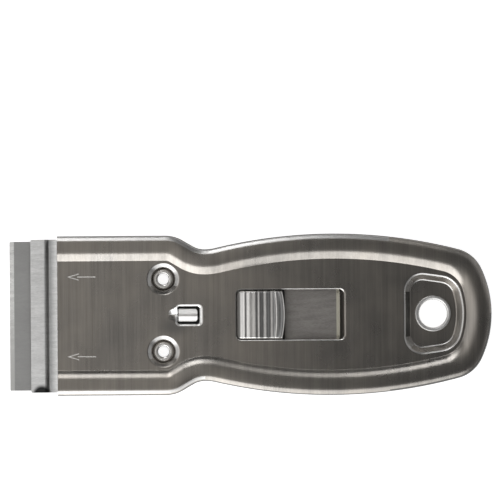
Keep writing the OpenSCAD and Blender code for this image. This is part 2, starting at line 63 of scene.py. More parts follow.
def trace(start, heading, moves, fine=4):
    """Points with headings along a list of moves: a straight, then a bend of a radius and a turn."""
    line, point = [], start
    for straight, radius, turn in moves:
        if straight > 0:
            line.append((point, heading))
            point = ahead(point, heading, straight)
        if turn:
            side = 90 if turn > 0 else -90
            centre = ahead(point, heading + side, radius)
            count = max(1, ceil(abs(turn) / fine))
            line += [(ahead(centre, heading + turn * k / count - side, radius), heading + turn * k / count)
                     for k in range(count)]
            heading += turn
            point = ahead(centre, heading - side, radius)
    return line + [(point, heading)]


def upper_face(line):
    return [point for point, heading in line]


def lower_face(line, thickness):
    return [ahead(point, heading - 90, thickness) for point, heading in line]


def both_faces(line, thickness):
    return upper_face(line), lower_face(line, thickness)


def slope(drop, top_r, foot_r, turn):
    """Straight part and full reach of a slope that falls by drop between two bends."""
    a = radians(turn)
    straight = (drop - (top_r + foot_r) * (1 - cos(a))) / sin(a)
    return straight, (top_r + foot_r) * sin(a) + straight * cos(a)


# %% [markdown]
# ## Outlines seen from above
# The outline of the handle is a chain of straights and arcs. Each station on it also knows which
# way is inward, so a traced section can be carried round it like a moulding round a frame.

# %% Walk round an outline
def on_arc(centre, radius, angle):
    return ahead(centre, angle, radius)


def even_angles(count):
    return [2 * pi * k / count for k in range(count)]


def circle(x, y, r, count=96):
    return [(x + r * cos(a), y + r * sin(a)) for a in even_angles(count)]


def walk(chain, fine, chord, like=None):
    """Stations of a chain of lines and arcs: a point and the direction that points inside.
    With like, the chain gets as many stations as that one, so the two can be joined."""
    stations = []
    for part, model in zip(chain, like or chain):
        if part[0] == "line":
            (x0, y0), (x1, y1) = part[1:]
            inward = degrees(atan2(y1 - y0, x1 - x0)) - 90
            found = [((x, y), ahead((0, 0), inward, 1)) for x, y in (part[1], part[2])]
        else:
            centre, radius, first, last = part[1:]
            turn = abs(model[4] - model[3])
            count = max(1, ceil(turn / fine), ceil(model[2] * radians(turn) / chord))
            facing = 1 if last > first else -1
            found = []
            for k in range(count + 1):
                angle = first + (last - first) * k / count
                inward = ahead((0, 0), angle, facing)
                found.append((on_arc(centre, radius, angle), inward))
        stations += found[1:] if stations else found
    return stations


def both_sides(half):
    """The stations of the upper side and the same ones mirrored, without doubling the last."""
    return half + [((p[0], -p[1]), (n[0], -n[1])) for p, n in reversed(half[:-1])]


def between(a, b, count):
    """Points that divide the line from a to b into equal parts, without its ends."""
    return [(a[0] + (b[0] - a[0]) * k / count, a[1] + (b[1] - a[1]) * k / count) for k in range(1, count)]


def rounded(x0, x1, half_width, r, corner=8, side=10):
    """Corner points of a rounded rectangle, with extra points along its sides."""
    loop = []
    for x, sign, start in ((x1 - r, 1, 0), (x0 + r, 1, 90), (x0 + r, -1, 180), (x1 - r, -1, 270)):
        arc = [on_arc((x, sign * (half_width - r)), r, start + 90 * k / corner) for k in range(corner + 1)]
        loop += (between(loop[-1], arc[0], side) if loop else []) + arc
    return loop + between(loop[-1], loop[0], side)


# %% [markdown]
# ## A bench for building meshes
# A mesh is points and faces. The bench collects rows of points, joins rows with quads and fills
# flat areas that have holes, then welds everything into one closed body. Normals are worked out
# once at the end, and only real corners are kept sharp, so bends reflect light smoothly.

# %% Build closed metal bodies
WELD, SLIVER = 0.004, 0.001  # mm: closer points become one, shorter edges go
GRAIN_MAP = 100  # mm for one unit of the map that lays out the grain


def into_scene(name, data):
    made = bpy.data.objects.new(name, data)
    bpy.context.scene.collection.objects.link(made)
    return made


class Bench:
    """Points and faces in mm, counted from the middle of the handle's mouth."""

    def __init__(self):
        self.points, self.faces, self.finish = [], [], []

    def add(self, row):
        """Lay down a row of points and return their numbers."""
        first = len(self.points)
        self.points += row
        return list(range(first, len(self.points)))

    def face(self, indices, finish=0):
        """A finish is a material's place in the list, or a function that picks one from the face's middle."""
        self.faces.append(indices)
        if callable(finish):
            corners = [self.points[i] for i in indices]
            finish = finish(*(sum(c[axis] for c in corners) / len(corners) for axis in (0, 1)))
        self.finish.append(finish)

    def grid(self, rows, closed=False, ring=False, finish=0):
        """Quads between rows; closed joins each row's ends, ring joins the last row to the first."""
        index = [self.add(row) for row in rows]
        pairs = list(zip(index, index[1:])) + ([(index[-1], index[0])] if ring else [])
        for a, b in pairs:
            n = len(a)
            for k in range(n if closed else n - 1):
                m = (k + 1) % n
                self.face((a[k], a[m], b[m], b[k]), finish)

    def flat(self, outline, holes, z, finish=0):
        """Fill an outline at one height and leave its holes open."""
        loops = [[(x, y, z) for x, y in loop] for loop in [outline] + holes]
        index = [i for loop in loops for i in self.add(loop)]
        for triangle in tessellate_polygon(loops):
            self.face([index[i] for i in triangle], finish)

    def body(self, name, materials, rides, slot, replaces, corner=38):
        """Weld all into one mesh, keep corners sharper than corner degrees, and hand it over as a piece."""
        mesh = bpy.data.meshes.new(name)
        mesh.from_pydata([((x + MOUTH_X) * MM, y * MM, z * MM) for x, y, z in self.points], [], self.faces)
        for material in materials:
            mesh.materials.append(material)
        mesh.polygons.foreach_set("material_index", self.finish)
        bm = bmesh.new()
        bm.from_mesh(mesh)
        bmesh.ops.remove_doubles(bm, verts=bm.verts, dist=WELD * MM)
        bmesh.ops.dissolve_degenerate(bm, dist=SLIVER * MM, edges=bm.edges)
        bmesh.ops.delete(bm, geom=[e for e in bm.edges if not e.link_faces], context="EDGES")
        bmesh.ops.recalc_face_normals(bm, faces=bm.faces)
        open_edges = sum(not e.is_manifold for e in bm.edges)
        bm.to_mesh(mesh)
        bm.free()
        mesh.shade_smooth()
        mesh.set_sharp_from_angle(angle=radians(corner))
        flat_map = mesh.uv_layers.new(name="grain")
        for loop in mesh.loops:
            co = mesh.vertices[loop.vertex_index].co
            flat_map.data[loop.index].uv = (co.x / MM / GRAIN_MAP, co.y / MM / GRAIN_MAP)
        piece = into_scene(name, mesh)
        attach(piece, rides)
        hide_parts(*replaces)
        print(f"{name}: {len(mesh.polygons)} faces, {open_edges} open edges")
        return piece


# %% [markdown]
# ## Small helpers for node trees
# A shader is a tree of nodes joined by links. These helpers make a group with named sockets, a node,
# a sum and a noise in one line each, so that the trees further down read like a recipe. Places are
# taken from the piece itself and never from the camera, so a mark stays where it is in every view.

# %% Make nodes and groups
def group(name, inputs, outputs):
    tree = bpy.data.node_groups.new(name, "ShaderNodeTree")
    for title, kind, value in inputs:
        made = tree.interface.new_socket(title, in_out="INPUT", socket_type="NodeSocket" + kind)
        made.default_value = value
    for title, kind in outputs:
        tree.interface.new_socket(title, in_out="OUTPUT", socket_type="NodeSocket" + kind)
    return tree, tree.nodes.new("NodeGroupInput"), tree.nodes.new("NodeGroupOutput")


def blank_material(name):
    material = bpy.data.materials.new(name)
    material.use_nodes = True
    material.node_tree.nodes.clear()
    return material, material.node_tree


def node(tree, kind, **settings):
    """A shader node of a kind, with its settings."""
    made = tree.nodes.new("ShaderNode" + kind)
    for key, value in settings.items():
        setattr(made, key, value)
    return made


def filled(tree, made, **sockets):
    """Give a node's sockets their values, or link them to another node's output."""
    for title, value in sockets.items():
        socket = made.inputs[title.replace("_", " ")]
        if isinstance(value, bpy.types.NodeSocket):
            tree.links.new(value, socket)
        else:
            socket.default_value = value
    return made


def math_node(tree, operation, a, b=None, c=None, clamp=False):
    made = node(tree, "Math", operation=operation, use_clamp=clamp)
    for socket, value in zip(made.inputs, (a, b, c)):
        if isinstance(value, (int, float)):
            socket.default_value = value
        elif value is not None:
            tree.links.new(value, socket)
    return made.outputs[0]


def vector_node(tree, operation, a, b):
    """A sum on two places or colours; the second may be a plain number to scale the first by."""
    made = node(tree, "VectorMath", operation=operation)
    tree.links.new(a, made.inputs[0])
    if isinstance(b, float):
        made.inputs["Scale"].default_value = b
    else:
        tree.links.new(b, made.inputs["Scale" if operation == "SCALE" else 1])
    return made.outputs[0]


def place_in_mm(tree):
    return vector_node(tree, "SCALE", node(tree, "TexCoord").outputs["Object"], 1 / MM)


def noise(tree, place, seed, scale=1.0, detail=2.0, roughness=0.5):
    made = node(tree, "TexNoise", noise_dimensions="4D")
    filled(tree, made, Vector=place, W=seed, Scale=scale, Detail=detail, Roughness=roughness)
    return made.outputs["Fac"]


def from_half(tree, value):
    """Noise runs from 0 to 1; less a half it darkens as often as it brightens."""
    return math_node(tree, "SUBTRACT", value, 0.5)


# %% [markdown]
# ## Grain, shared by every metal
# Stainless sheet keeps the fine parallel scratches of the rollers and belts that finished it.
# Stretched noise gives such lines. One node group makes them, with a fine and a coarse layer,
# and every metal places it with its own spacing, depth and tone.

# %% Node group: brushed grain
FINE_PART, COARSE_PART, COARSE_SCALE, CONTRAST = 0.6, 0.4, 0.16, 2.6
SMUDGE_SCALE = 0.09  # smudges for each mm


def brushed_grain():
    """Streaks for the relief, a shade for the tint and smudges for the roughness."""
    tree, start, end = group(
        "brushed_grain",
        [("Spacing", "Vector", (8.0, 0.15, 2.0)), ("Seed", "Float", 0.0),
         ("Tone", "Float", 0.2), ("Smudge", "Float", 0.15)],
        [("Streaks", "Float"), ("Shade", "Float"), ("Smudges", "Float")])
    given = start.outputs
    place = place_in_mm(tree)
    stretched = vector_node(tree, "MULTIPLY", place, given["Spacing"])
    fine = noise(tree, stretched, given["Seed"], detail=5.0, roughness=0.7)
    coarse = noise(tree, vector_node(tree, "SCALE", stretched, COARSE_SCALE), given["Seed"])
    smudges = noise(tree, place, given["Seed"], scale=SMUDGE_SCALE, detail=3.0)
    both = math_node(tree, "ADD", math_node(tree, "MULTIPLY", fine, FINE_PART),
                     math_node(tree, "MULTIPLY", coarse, COARSE_PART))
    streaks = math_node(tree, "MULTIPLY_ADD", from_half(tree, both), CONTRAST, 0.5, clamp=True)
    streak_part = math_node(tree, "MULTIPLY", from_half(tree, streaks), given["Tone"])
    smudge_part = math_node(tree, "MULTIPLY", from_half(tree, smudges), given["Smudge"])
    shade = math_node(tree, "ADD", 1.0, math_node(tree, "ADD", streak_part, smudge_part))
    filled(tree, end, Streaks=streaks, Shade=shade, Smudges=smudges)
    return tree


grain_group = brushed_grain()
print("grain group:", len(grain_group.nodes), "nodes")


# %% [markdown]
# ## Painted shade below a height
# Low parts lie in the shade of what stands round them; here that shade is painted into the colour.
# A second group fades a metal's tint to dark below a height. Ambient occlusion would do it too, but
# that depends on the renderer, while a height is the same in every view.

# %% Node group: painted shade below a height
def painted_shade_below():
    tree, start, end = group(
        "painted_shade_below",
        [("Tint", "Color", (1.0, 1.0, 1.0, 1.0)), ("Dull below mm", "Float", 5.5),
         ("Bright above mm", "Float", 6.0), ("Dullness", "Float", 0.8)],
        [("Rubbed", "Color")])
    given = start.outputs
    split = node(tree, "SeparateXYZ")
    tree.links.new(place_in_mm(tree), split.inputs[0])
    ramp = filled(tree, node(tree, "MapRange", interpolation_type="SMOOTHSTEP"),
                  Value=split.outputs["Z"], From_Min=given["Dull below mm"],
                  From_Max=given["Bright above mm"])
    dull = math_node(tree, "SUBTRACT", 1.0, ramp.outputs["Result"])
    keep = math_node(tree, "SUBTRACT", 1.0, math_node(tree, "MULTIPLY", dull, given["Dullness"]))
    filled(tree, end, Rubbed=vector_node(tree, "SCALE", given["Tint"], keep))
    return tree


shade_group = painted_shade_below()
print("rub group:", len(shade_group.nodes), "nodes")


# %% [markdown]
# ## Patches of another tone
# Some tones sit in one place: a painted highlight across the end of the strip, painted shade below
# the dent in front of the window and across the pad's front, a dark patch at the jaw's lower corner
# and a darker lower end of the ground edge. This group fades one tint to another inside an
# ellipsoid. With one very long radius it works as a band.

# %% Node group: patch
def patch_of_tone():
    tree, start, end = group(
        "patch_of_tone",
        [("Tint", "Color", (1.0, 1.0, 1.0, 1.0)),
         ("Patch tint", "Color", (0.0, 0.0, 0.0, 1.0)),
         ("Centre mm", "Vector", (0.0, 0.0, 0.0)),
         ("Radii mm", "Vector", (1.0, 1.0, 1.0)), ("Core", "Float", 0.5)],
        [("Patched", "Color")])
    given = start.outputs
    away = vector_node(tree, "SUBTRACT", place_in_mm(tree), given["Centre mm"])
    length = node(tree, "VectorMath", operation="LENGTH")
    tree.links.new(vector_node(tree, "DIVIDE", away, given["Radii mm"]), length.inputs[0])
    fade = filled(tree, node(tree, "MapRange", interpolation_type="SMOOTHSTEP"),
                  Value=length.outputs["Value"], From_Min=given["Core"], From_Max=1.0, To_Min=1.0, To_Max=0.0)
    mix = filled(tree, node(tree, "Mix", data_type="RGBA"), Factor=fade.outputs["Result"])
    tree.links.new(given["Tint"], mix.inputs["A"])
    tree.links.new(given["Patch tint"], mix.inputs["B"])
    filled(tree, end, Patched=mix.outputs["Result"])
    return tree


patch_group = patch_of_tone()
print("patch group:", len(patch_group.nodes), "nodes")


# %% [markdown]
# ## Metals
# Each metal is a Principled material: metallic, with its own tint, roughness and brushing. The
# grain group varies the tint and the roughness and raises a faint bump. Anisotropy stretches the
# highlights across the brushing, which is what makes sheet look drawn and not just dull.

# %% Make one metal from its numbers
RELIEF_MM, ROUGH_VARY = 0.02, 0.1  # depth of the grain, and how far smudges change the roughness


def steel(name, tint, roughness, spacing, tone=0.2, smudge=0.2, bump=0.1, anisotropy=0.0, rotation=0.0,
          seed=0.0, second_tint=None, shade_below=None, patch=None):
    material, tree = blank_material(name)
    surface = node(tree, "BsdfPrincipled")
    tree.links.new(surface.outputs[0], node(tree, "OutputMaterial").inputs["Surface"])
    filled(tree, surface, Metallic=1.0, Anisotropic=anisotropy, Anisotropic_Rotation=rotation)
    grain = filled(tree, node(tree, "Group", node_tree=grain_group),
                   Spacing=spacing, Seed=seed, Tone=tone, Smudge=smudge)
    colour = node(tree, "VectorMath", operation="SCALE")
    colour.inputs[0].default_value = tint
    tree.links.new(grain.outputs["Shade"], colour.inputs["Scale"])
    if second_tint:
        drift = filled(tree, node(tree, "Mix", data_type="RGBA"), Factor=grain.outputs["Smudges"],
                       A=(*tint, 1.0), B=(*second_tint, 1.0))
        tree.links.new(drift.outputs["Result"], colour.inputs[0])
    tone_out = colour.outputs[0]
    # Painted shade: the tint fades to dark below a height.
    if shade_below:
        low, high, shade_depth = shade_below
        low_shade = filled(tree, node(tree, "Group", node_tree=shade_group),
                     Tint=tone_out, Dull_below_mm=low, Bright_above_mm=high, Dullness=shade_depth)
        tone_out = low_shade.outputs["Rubbed"]
    # A patch of another tone; in some metals it paints shade or a highlight.
    if patch:
        patch_tint, centre, radii, core = patch
        spot = filled(tree, node(tree, "Group", node_tree=patch_group),
                      Tint=tone_out, Patch_tint=patch_tint, Centre_mm=centre, Radii_mm=radii, Core=core)
        tone_out = spot.outputs["Patched"]
    uneven = from_half(tree, grain.outputs["Smudges"])
    relief = filled(tree, node(tree, "Bump"), Strength=bump, Distance=RELIEF_MM * MM,
                    Height=grain.outputs["Streaks"])
    filled(tree, surface, Base_Color=tone_out, Normal=relief.outputs[0],
           Roughness=math_node(tree, "MULTIPLY_ADD", uneven, ROUGH_VARY, roughness))
    if anisotropy:
        along = node(tree, "Tangent", direction_type="UV_MAP", uv_map="grain")
        tree.links.new(along.outputs[0], surface.inputs["Tangent"])
    return material


# %% [markdown]
# The shells are brushed across the handle, so their lines are close together along it and long
# across it. The jaws and the strip are brushed the other way. Rivets, pad and nose are polished.

# %% The finishes of this scraper
# Patches: painted shade below the dent in front of the window, a dark patch at the jaw's lower corner, a
# painted highlight across the strip's rear end, painted shade across the pad's front, and a darker lower end
# of the ground edge.
WINDOW_SHADE_PATCH = ((0.235, 0.228, 0.218, 1.0), (-19.5, -2.8, 6.3), (6.0, 3.6, 2.6), 0.1)
JAW_DARK_PATCH = ((0.03, 0.03, 0.03, 1.0), (-53.4, -20.1, 5.0), (2.8, 2.9, 100.0), 0.6)
STRIP_END_HIGHLIGHT = ((0.66, 0.63, 0.53, 1.0), (22.4, 0.0, 5.3), (0.46, 1000.0, 100.0), 0.9)
PAD_FRONT_SHADE = ((0.26, 0.257, 0.25, 1.0), (-3.5, 0.0, 7.5), (1.3, 100.0, 100.0), 0.4)
DULL_CORNER = ((0.52, 0.52, 0.51, 1.0), (-61.0, -19.0, 4.0), (10.0, 28.0, 10.0), 0.1)
# Heights in mm below which the pad's steel gets painted shade, fading out up to the second, and how dark it
# gets.
PAD_SHADE_HEIGHTS = (5.8, 7.0, 0.93)
# The shell's steel, with its patch of painted shade; then its copies: painted shade for steep walls, painted
# sheen and painted highlight for edges and bends.
shell_steel = steel("shell_steel", (0.325, 0.316, 0.305), 0.28, (3.2, 0.05, 1.0), tone=0.5, smudge=0.6,
                    anisotropy=0.7, seed=1.0, second_tint=(0.365, 0.332, 0.292), patch=WINDOW_SHADE_PATCH)
painted_shade_steel = steel("painted_shade_steel", (0.12, 0.117, 0.112), 0.42, (2.0, 2.0, 2.0), tone=0.4, smudge=0.4, seed=1.5)
painted_sheen_steel = steel("painted_sheen_steel", (0.56, 0.55, 0.535), 0.32, (3.0, 3.0, 3.0), tone=0.3, bump=0.05,
                       seed=2.0)
painted_highlight_steel = steel("painted_highlight_steel", (0.9, 0.893, 0.878), 0.3, (3.0, 3.0, 3.0), bump=0.05, seed=2.5)
# The upper jaw gets painted shade down into its groove and a dark patch at its lower corner.
jaw_steel = steel("jaw_steel", (0.62, 0.617, 0.61), 0.5, (1.2, 8.0, 1.0), tone=0.5, smudge=0.15, bump=0.15,
                  anisotropy=0.8, rotation=0.25, seed=3.0, shade_below=(4.6, 5.95, 0.52), patch=JAW_DARK_PATCH)
lower_jaw_steel = steel("lower_jaw_steel", (0.56, 0.555, 0.545), 0.5, (0.8, 8.0, 1.0), tone=0.5, bump=0.2,
                        seed=3.5)
# The strip gets a painted highlight across its rear end.
strip_steel = steel("strip_steel", (0.335, 0.318, 0.302), 0.5, (1.1, 6.0, 1.0), tone=0.6, bump=0.4,
                    seed=4.0, patch=STRIP_END_HIGHLIGHT)
# The rivets get painted shade on their barrels below the rolled heads.
rivet_steel = steel("rivet_steel", (0.74, 0.73, 0.715), 0.2, (2.5, 2.5, 2.5), tone=0.3, smudge=0.3, bump=0.2,
                    seed=5.0, shade_below=(4.75, 4.95, 0.75))
eyelet_steel = steel("eyelet_steel", (0.66, 0.652, 0.64), 0.46, (2.5, 2.5, 2.5), tone=0.3, smudge=0.3,
                     seed=5.5)
# The pad gets painted shade below a height and across its front; its darker copy is painted shade on the
# middle ribs and the rear edge.
pad_steel = steel("pad_steel", (0.78, 0.771, 0.755), 0.32, (2.0, 0.6, 2.0), tone=0.4, smudge=0.3, seed=6.0,
                  shade_below=PAD_SHADE_HEIGHTS, patch=PAD_FRONT_SHADE)
pad_painted_shade_steel = steel("pad_painted_shade_steel", (0.48, 0.474, 0.465), 0.32, (2.0, 0.6, 2.0), tone=0.4, smudge=0.3,
                       seed=6.0, shade_below=PAD_SHADE_HEIGHTS)
# The nose gets painted shade below the underside of the front half.
nose_steel = steel("nose_steel", (0.7, 0.69, 0.675), 0.42, (0.6, 3.0, 1.0), smudge=0.15, bump=0.08,
                   seed=7.0, shade_below=(5.5, 5.9, 0.95))
blade_steel = steel("blade_steel", (0.39, 0.39, 0.387), 0.5, (0.6, 2.0, 1.0), tone=0.15, smudge=0.1,
                    bump=0.05, seed=8.0)
# The ground edge gets darker towards its lower end.
ground_edge = steel("ground_edge", (0.74, 0.74, 0.73), 0.5, (1.5, 6.0, 1.0), tone=0.6, smudge=0.1, bump=0.2,
                    seed=9.0, patch=DULL_CORNER)
spine_steel = steel("spine_steel", (0.34, 0.34, 0.345), 0.4, (0.5, 5.0, 1.0), seed=10.0)
print("metals:", len(bpy.data.materials))


# %% [markdown]
# ## The stamped half shell
# Both halves are pressed in one die: a skirt that turns over a corner into a domed rim, a slope
# down to the flat panel, two rivet dimples and a pocket round the hanging hole. The rim section
# is carried round the outline; the flat panel between the forms is filled last.

# %% Sizes of the handle
SHEET, THICK, PANEL_DROP = 0.7, 8.0, 1.4
MID_Z, PANEL_Z = THICK / 2, THICK - PANEL_DROP
FLOOR_DROP = PANEL_Z - MID_Z - SHEET
GUARD = 0.13  # mm of flat sheet that stays beside every bend
HEAD_W, HEAD_LEN, NECK_W, NECK_AT = 40.7, 27.6, 33.6, 37.6
GRIP_W, GRIP_AT, HANDLE_LEN, END_R = 41.2, 70.0, 110.8, 27.0
SHOULDER_R, SHOULDER_TURN, NECK_FRONT_R, NECK_BACK_R, BUTT_R = 8.5, 30, 6.0, 12.0, 9.0
RIVET_AT, RIVET_Y, DIMPLE_R, RIVET_HOLE = 27.0, 9.25, 4.3, 1.775
HANG_AT, HANG_R, EYELET_WALL = 95.9, 3.55, 0.4
SLOT_AT, SLOT_LEN, SLOT_HALF, SLOT_R = 45.7, 27.4, 6.35, 1.2
WINDOW_AT, WINDOW_LEN, WINDOW_HALF, WINDOW_R = 30.6, 5.7, 2.25, 0.6
SLOT_BEVEL, SLOT_REAR_SHARE, WINDOW_BEVEL, WINDOW_REAR_SHARE, BEVEL_DEPTH = 0.3, 1.9, 0.55, 1.5, 0.35


def degrees_to(a, b):
    return degrees(atan2(b[1] - a[1], b[0] - a[0]))


def meeting(a, ra, b, rb):
    """The point that lies ra from a and rb from b, on the outer side."""
    dx, dy = b[0] - a[0], b[1] - a[1]
    d = hypot(dx, dy)
    k = (ra ** 2 - rb ** 2 + d ** 2) / (2 * d)
    h = sqrt(ra ** 2 - k ** 2)
    ux, uy = dx / d, dy / d
    return (a[0] + ux * k + uy * h, a[1] + uy * k - ux * h)


# %% [markdown]
# ## The outline of the handle
# A straight head, a short shoulder, a neck and a grip that widens in one long arc to a round butt.
# Every arc runs into the next without a corner, so a few widths and lengths are enough to draw it.
# A spline could be fitted too, but arcs can be moved inward exactly, which the rim needs.

# %% Outline of the handle
TURN_STEP, CHORD = 2.5, 1.5  # stations are at most this many degrees and mm apart


def handle_chain(butt_r, inset=0.0):
    """Lines and arcs of one side, moved inward by inset, with its own radius at the butt."""
    rise = (GRIP_W - NECK_W) / 2
    grip_r = ((GRIP_AT - NECK_AT) ** 2 / rise + rise) / 2 - NECK_BACK_R
    grip_turn = degrees(asin((GRIP_AT - NECK_AT) / (grip_r + NECK_BACK_R)))
    grip_c, end_c = (GRIP_AT, GRIP_W / 2 - grip_r), (HANDLE_LEN - END_R, 0.0)
    shoulder_c, shoulder_r = (HEAD_LEN, HEAD_W / 2 - SHOULDER_R), SHOULDER_R - inset
    front_c, back_c = (NECK_AT, NECK_W / 2 + NECK_FRONT_R), (NECK_AT, NECK_W / 2 + NECK_BACK_R)
    front_r, back_r = NECK_FRONT_R + inset, NECK_BACK_R + inset
    butt_c = meeting(grip_c, grip_r - inset - butt_r, end_c, END_R - inset - butt_r)
    first, last = degrees_to(grip_c, butt_c), degrees_to(end_c, butt_c)
    slope_a, slope_b = 90 - SHOULDER_TURN, 270 - SHOULDER_TURN
    return [
        ("line", (0.0, HEAD_W / 2 - inset), (HEAD_LEN, HEAD_W / 2 - inset)),
        ("arc", shoulder_c, shoulder_r, 90, slope_a),
        ("line", on_arc(shoulder_c, shoulder_r, slope_a), on_arc(front_c, front_r, slope_b)),
        ("arc", front_c, front_r, slope_b, 270),
        ("arc", back_c, back_r, 270, 270 + grip_turn),
        ("arc", grip_c, grip_r - inset, 90 + grip_turn, first),
        ("arc", butt_c, butt_r, first, last),
        ("arc", end_c, END_R - inset, last, 0)]


outer_chain = handle_chain(BUTT_R)
outline = both_sides(walk(outer_chain, TURN_STEP, CHORD))
print("stations round the handle:", len(outline))


# %% [markdown]
# ## Sections through the sheet
# Pressed sheet keeps its thickness and bends in round turns. Each form is therefore one traced line
# with named radii and angles: over the rim, down into a rivet dimple, and down into the pocket.

# %% Section of the rim
RIM_TURN, DOME_R, DOME_TURN, CORNER_R, CREST = 38, 4.2, 28, 0.9, 0.22
RIM_TOP_R, RIM_FOOT_R, FOOT_BUTT_R = 5.6, 0.2, 7.0
rim_straight, rim_reach = slope(PANEL_DROP, RIM_TOP_R, RIM_FOOT_R, RIM_TURN)
dome = radians(DOME_TURN)
skirt = MID_Z - CORNER_R * cos(dome) - DOME_R * (1 - cos(dome))
CREST_END = CORNER_R * (1 - sin(dome)) + DOME_R * sin(dome) + CREST
RIM_W = CREST_END + rim_reach
rim_line = trace((0.0, MID_Z), 90, [
    (skirt, CORNER_R, DOME_TURN - 90), (0, DOME_R, -DOME_TURN), (CREST, RIM_TOP_R, -RIM_TURN),
    (rim_straight, RIM_FOOT_R, RIM_TURN), (GUARD, 0, 0)], fine=3)
foot_line = both_sides(walk(handle_chain(FOOT_BUTT_R, RIM_W), TURN_STEP, CHORD, like=outer_chain))
print("rim is", round(RIM_W, 2), "mm wide")

# %% Section of a rivet dimple
BRIM_TURN, BRIM_R, BRIM_FLAT, WALL_TURN, WALL_R, DIMPLE_FOOT_R = 34, 0.8, 0.75, 72, 0.75, 0.2
brim, wall = radians(BRIM_TURN), radians(WALL_TURN)
wall_drop = (FLOOR_DROP - BRIM_R * (1 - cos(brim)) - BRIM_FLAT * sin(brim)
             - WALL_R * (cos(brim) - cos(wall)) - DIMPLE_FOOT_R * (1 - cos(wall)))
dimple_straight = wall_drop / sin(wall)
dimple_line = trace((-GUARD, PANEL_Z), 0, [
    (GUARD, BRIM_R, -BRIM_TURN), (BRIM_FLAT, WALL_R, BRIM_TURN - WALL_TURN),
    (dimple_straight, DIMPLE_FOOT_R, WALL_TURN)], fine=4)
floor_from = dimple_line[-1][0]
dimple_line.append(((DIMPLE_R - RIVET_HOLE, floor_from[1]), 0))
print("dimple wall", round(dimple_straight, 2), "mm, floor from radius", round(DIMPLE_R - floor_from[0], 2))

# %% Section and outline of the pocket
POCKET_BRIM_R, POCKET_FOOT_R, POCKET_TURN, POCKET_GAP = 0.85, 0.6, 50, 0.4
pocket_straight = slope(FLOOR_DROP, POCKET_BRIM_R, POCKET_FOOT_R, POCKET_TURN)[0]
pocket_line = trace((-GUARD, PANEL_Z), 0, [
    (GUARD, POCKET_BRIM_R, -POCKET_TURN), (pocket_straight, POCKET_FOOT_R, POCKET_TURN),
    (GUARD, 0, 0)], fine=5)


def pocket_half():
    """Stations of one side of the pocket, which follows the round butt at an even distance."""
    front_r, back_r, front, half, back_half = 5.0, 6.0, 7.7, 10.6, 10.0
    end_c, end_r = (HANDLE_LEN - END_R, 0.0), END_R - RIM_W - POCKET_GAP
    front_c = (HANG_AT - front + front_r, half - front_r)
    back_y = back_half - back_r
    back_c = (end_c[0] + sqrt((end_r - back_r) ** 2 - back_y ** 2), back_y)
    spread = degrees(asin((back_r - front_r) / dist(front_c, back_c)))
    tilt, last = degrees_to(front_c, back_c) + spread, degrees_to(end_c, back_c)
    return walk([
        ("arc", front_c, front_r, 180, 90 + tilt),
        ("line", on_arc(front_c, front_r, 90 + tilt), on_arc(back_c, back_r, 90 + tilt)),
        ("arc", back_c, back_r, 90 + tilt, last),
        ("arc", end_c, end_r, last, 0)], 4, CHORD)


pocket_round = both_sides(pocket_half())[:-1]
gap = min(dist(a[0], b[0]) for a in foot_line for b in pocket_round)
print("pocket stays", round(gap, 2), "mm off the rim")


# %% [markdown]
# ## Rings round the openings
# The window and the slot get their own rings of points. Round the window the sheet is pulled in by
# the punch, and in front of it a small dent guides the nose. Heights for those rings come from a
# formula, which is simpler to control here than sculpting.

# %% Rings round the openings
BEVEL_STEPS, BEVEL_EASE = 6, 0.8
DENT_LEN, DENT_Y, DENT_DEEP, DENT_STEEP, DENT_TIP_HALF, DENT_SPREAD = 2.2, 0.2, 0.95, 5, 0.9, 1.3
WINDOW_RINGS = (0.7, 0.85, 1.0, 1.2, 1.4, 1.6, 1.8, 2.0, 2.2, 2.4, 2.7)


def bevel_steps(width):
    """Offsets and depths of a rolled edge, from its upright wall out to the flat sheet."""
    steps = []
    for k in range(BEVEL_STEPS + 1):
        eased = (k / BEVEL_STEPS) ** BEVEL_EASE
        steps.append((width * k / BEVEL_STEPS, BEVEL_DEPTH * (1 - sin(pi / 2 * eased))))
    return steps


def slot_rings():
    """Loops round the slot, from the lower face up its wall and over the rolled edge."""
    steps = [(0.0, SHEET)] + bevel_steps(SLOT_BEVEL) + [(SLOT_BEVEL + GUARD, 0.0)]
    return [[(x, y, PANEL_Z - low) for x, y in
             rounded(SLOT_AT - d, SLOT_AT + SLOT_LEN + SLOT_REAR_SHARE * d, SLOT_HALF + d, SLOT_R + d)]
            for d, low in steps]


def dent(x, y):
    """Depth of the V-shaped dent in front of the window, which widens towards it."""
    share = (x - (WINDOW_AT - DENT_LEN)) / DENT_LEN
    if share <= 0 or x > WINDOW_AT + 0.02:
        return 0.0
    across = abs(y - DENT_Y) / (DENT_TIP_HALF + DENT_SPREAD * share)
    return DENT_DEEP * min(1.0, share * DENT_STEEP) * max(0.0, 1 - across)


def window_rings():
    """Loops round the window: on the upper face, with the rolled edge, and on the lower face."""
    upper, lower = [], []
    for d, low in bevel_steps(WINDOW_BEVEL) + [(d, 0.0) for d in WINDOW_RINGS]:
        rear = WINDOW_AT + WINDOW_LEN + WINDOW_REAR_SHARE * d
        loop = rounded(WINDOW_AT - d, rear, WINDOW_HALF + d, WINDOW_R + d, corner=6, side=24)
        sunk = [(x, y, dent(x, y)) for x, y in loop]
        upper.append([(x, y, PANEL_Z - (max(deep, low) if x > WINDOW_AT - 0.01 else deep))
                      for x, y, deep in sunk])
        lower.append([(x, y, PANEL_Z - SHEET - deep) for x, y, deep in sunk])
    return upper, lower


# %% [markdown]
# ## Painted light and shade on the shell
# Each face of the shell picks one of four copies of its steel from where it lies: plain, or one with
# painted sheen, painted highlight or painted shade. Edges and bends get the painted sheen and
# highlight, steep walls the painted shade. Painting a map by hand would allow softer borders, but a
# rule is exact and stays right when a size changes.

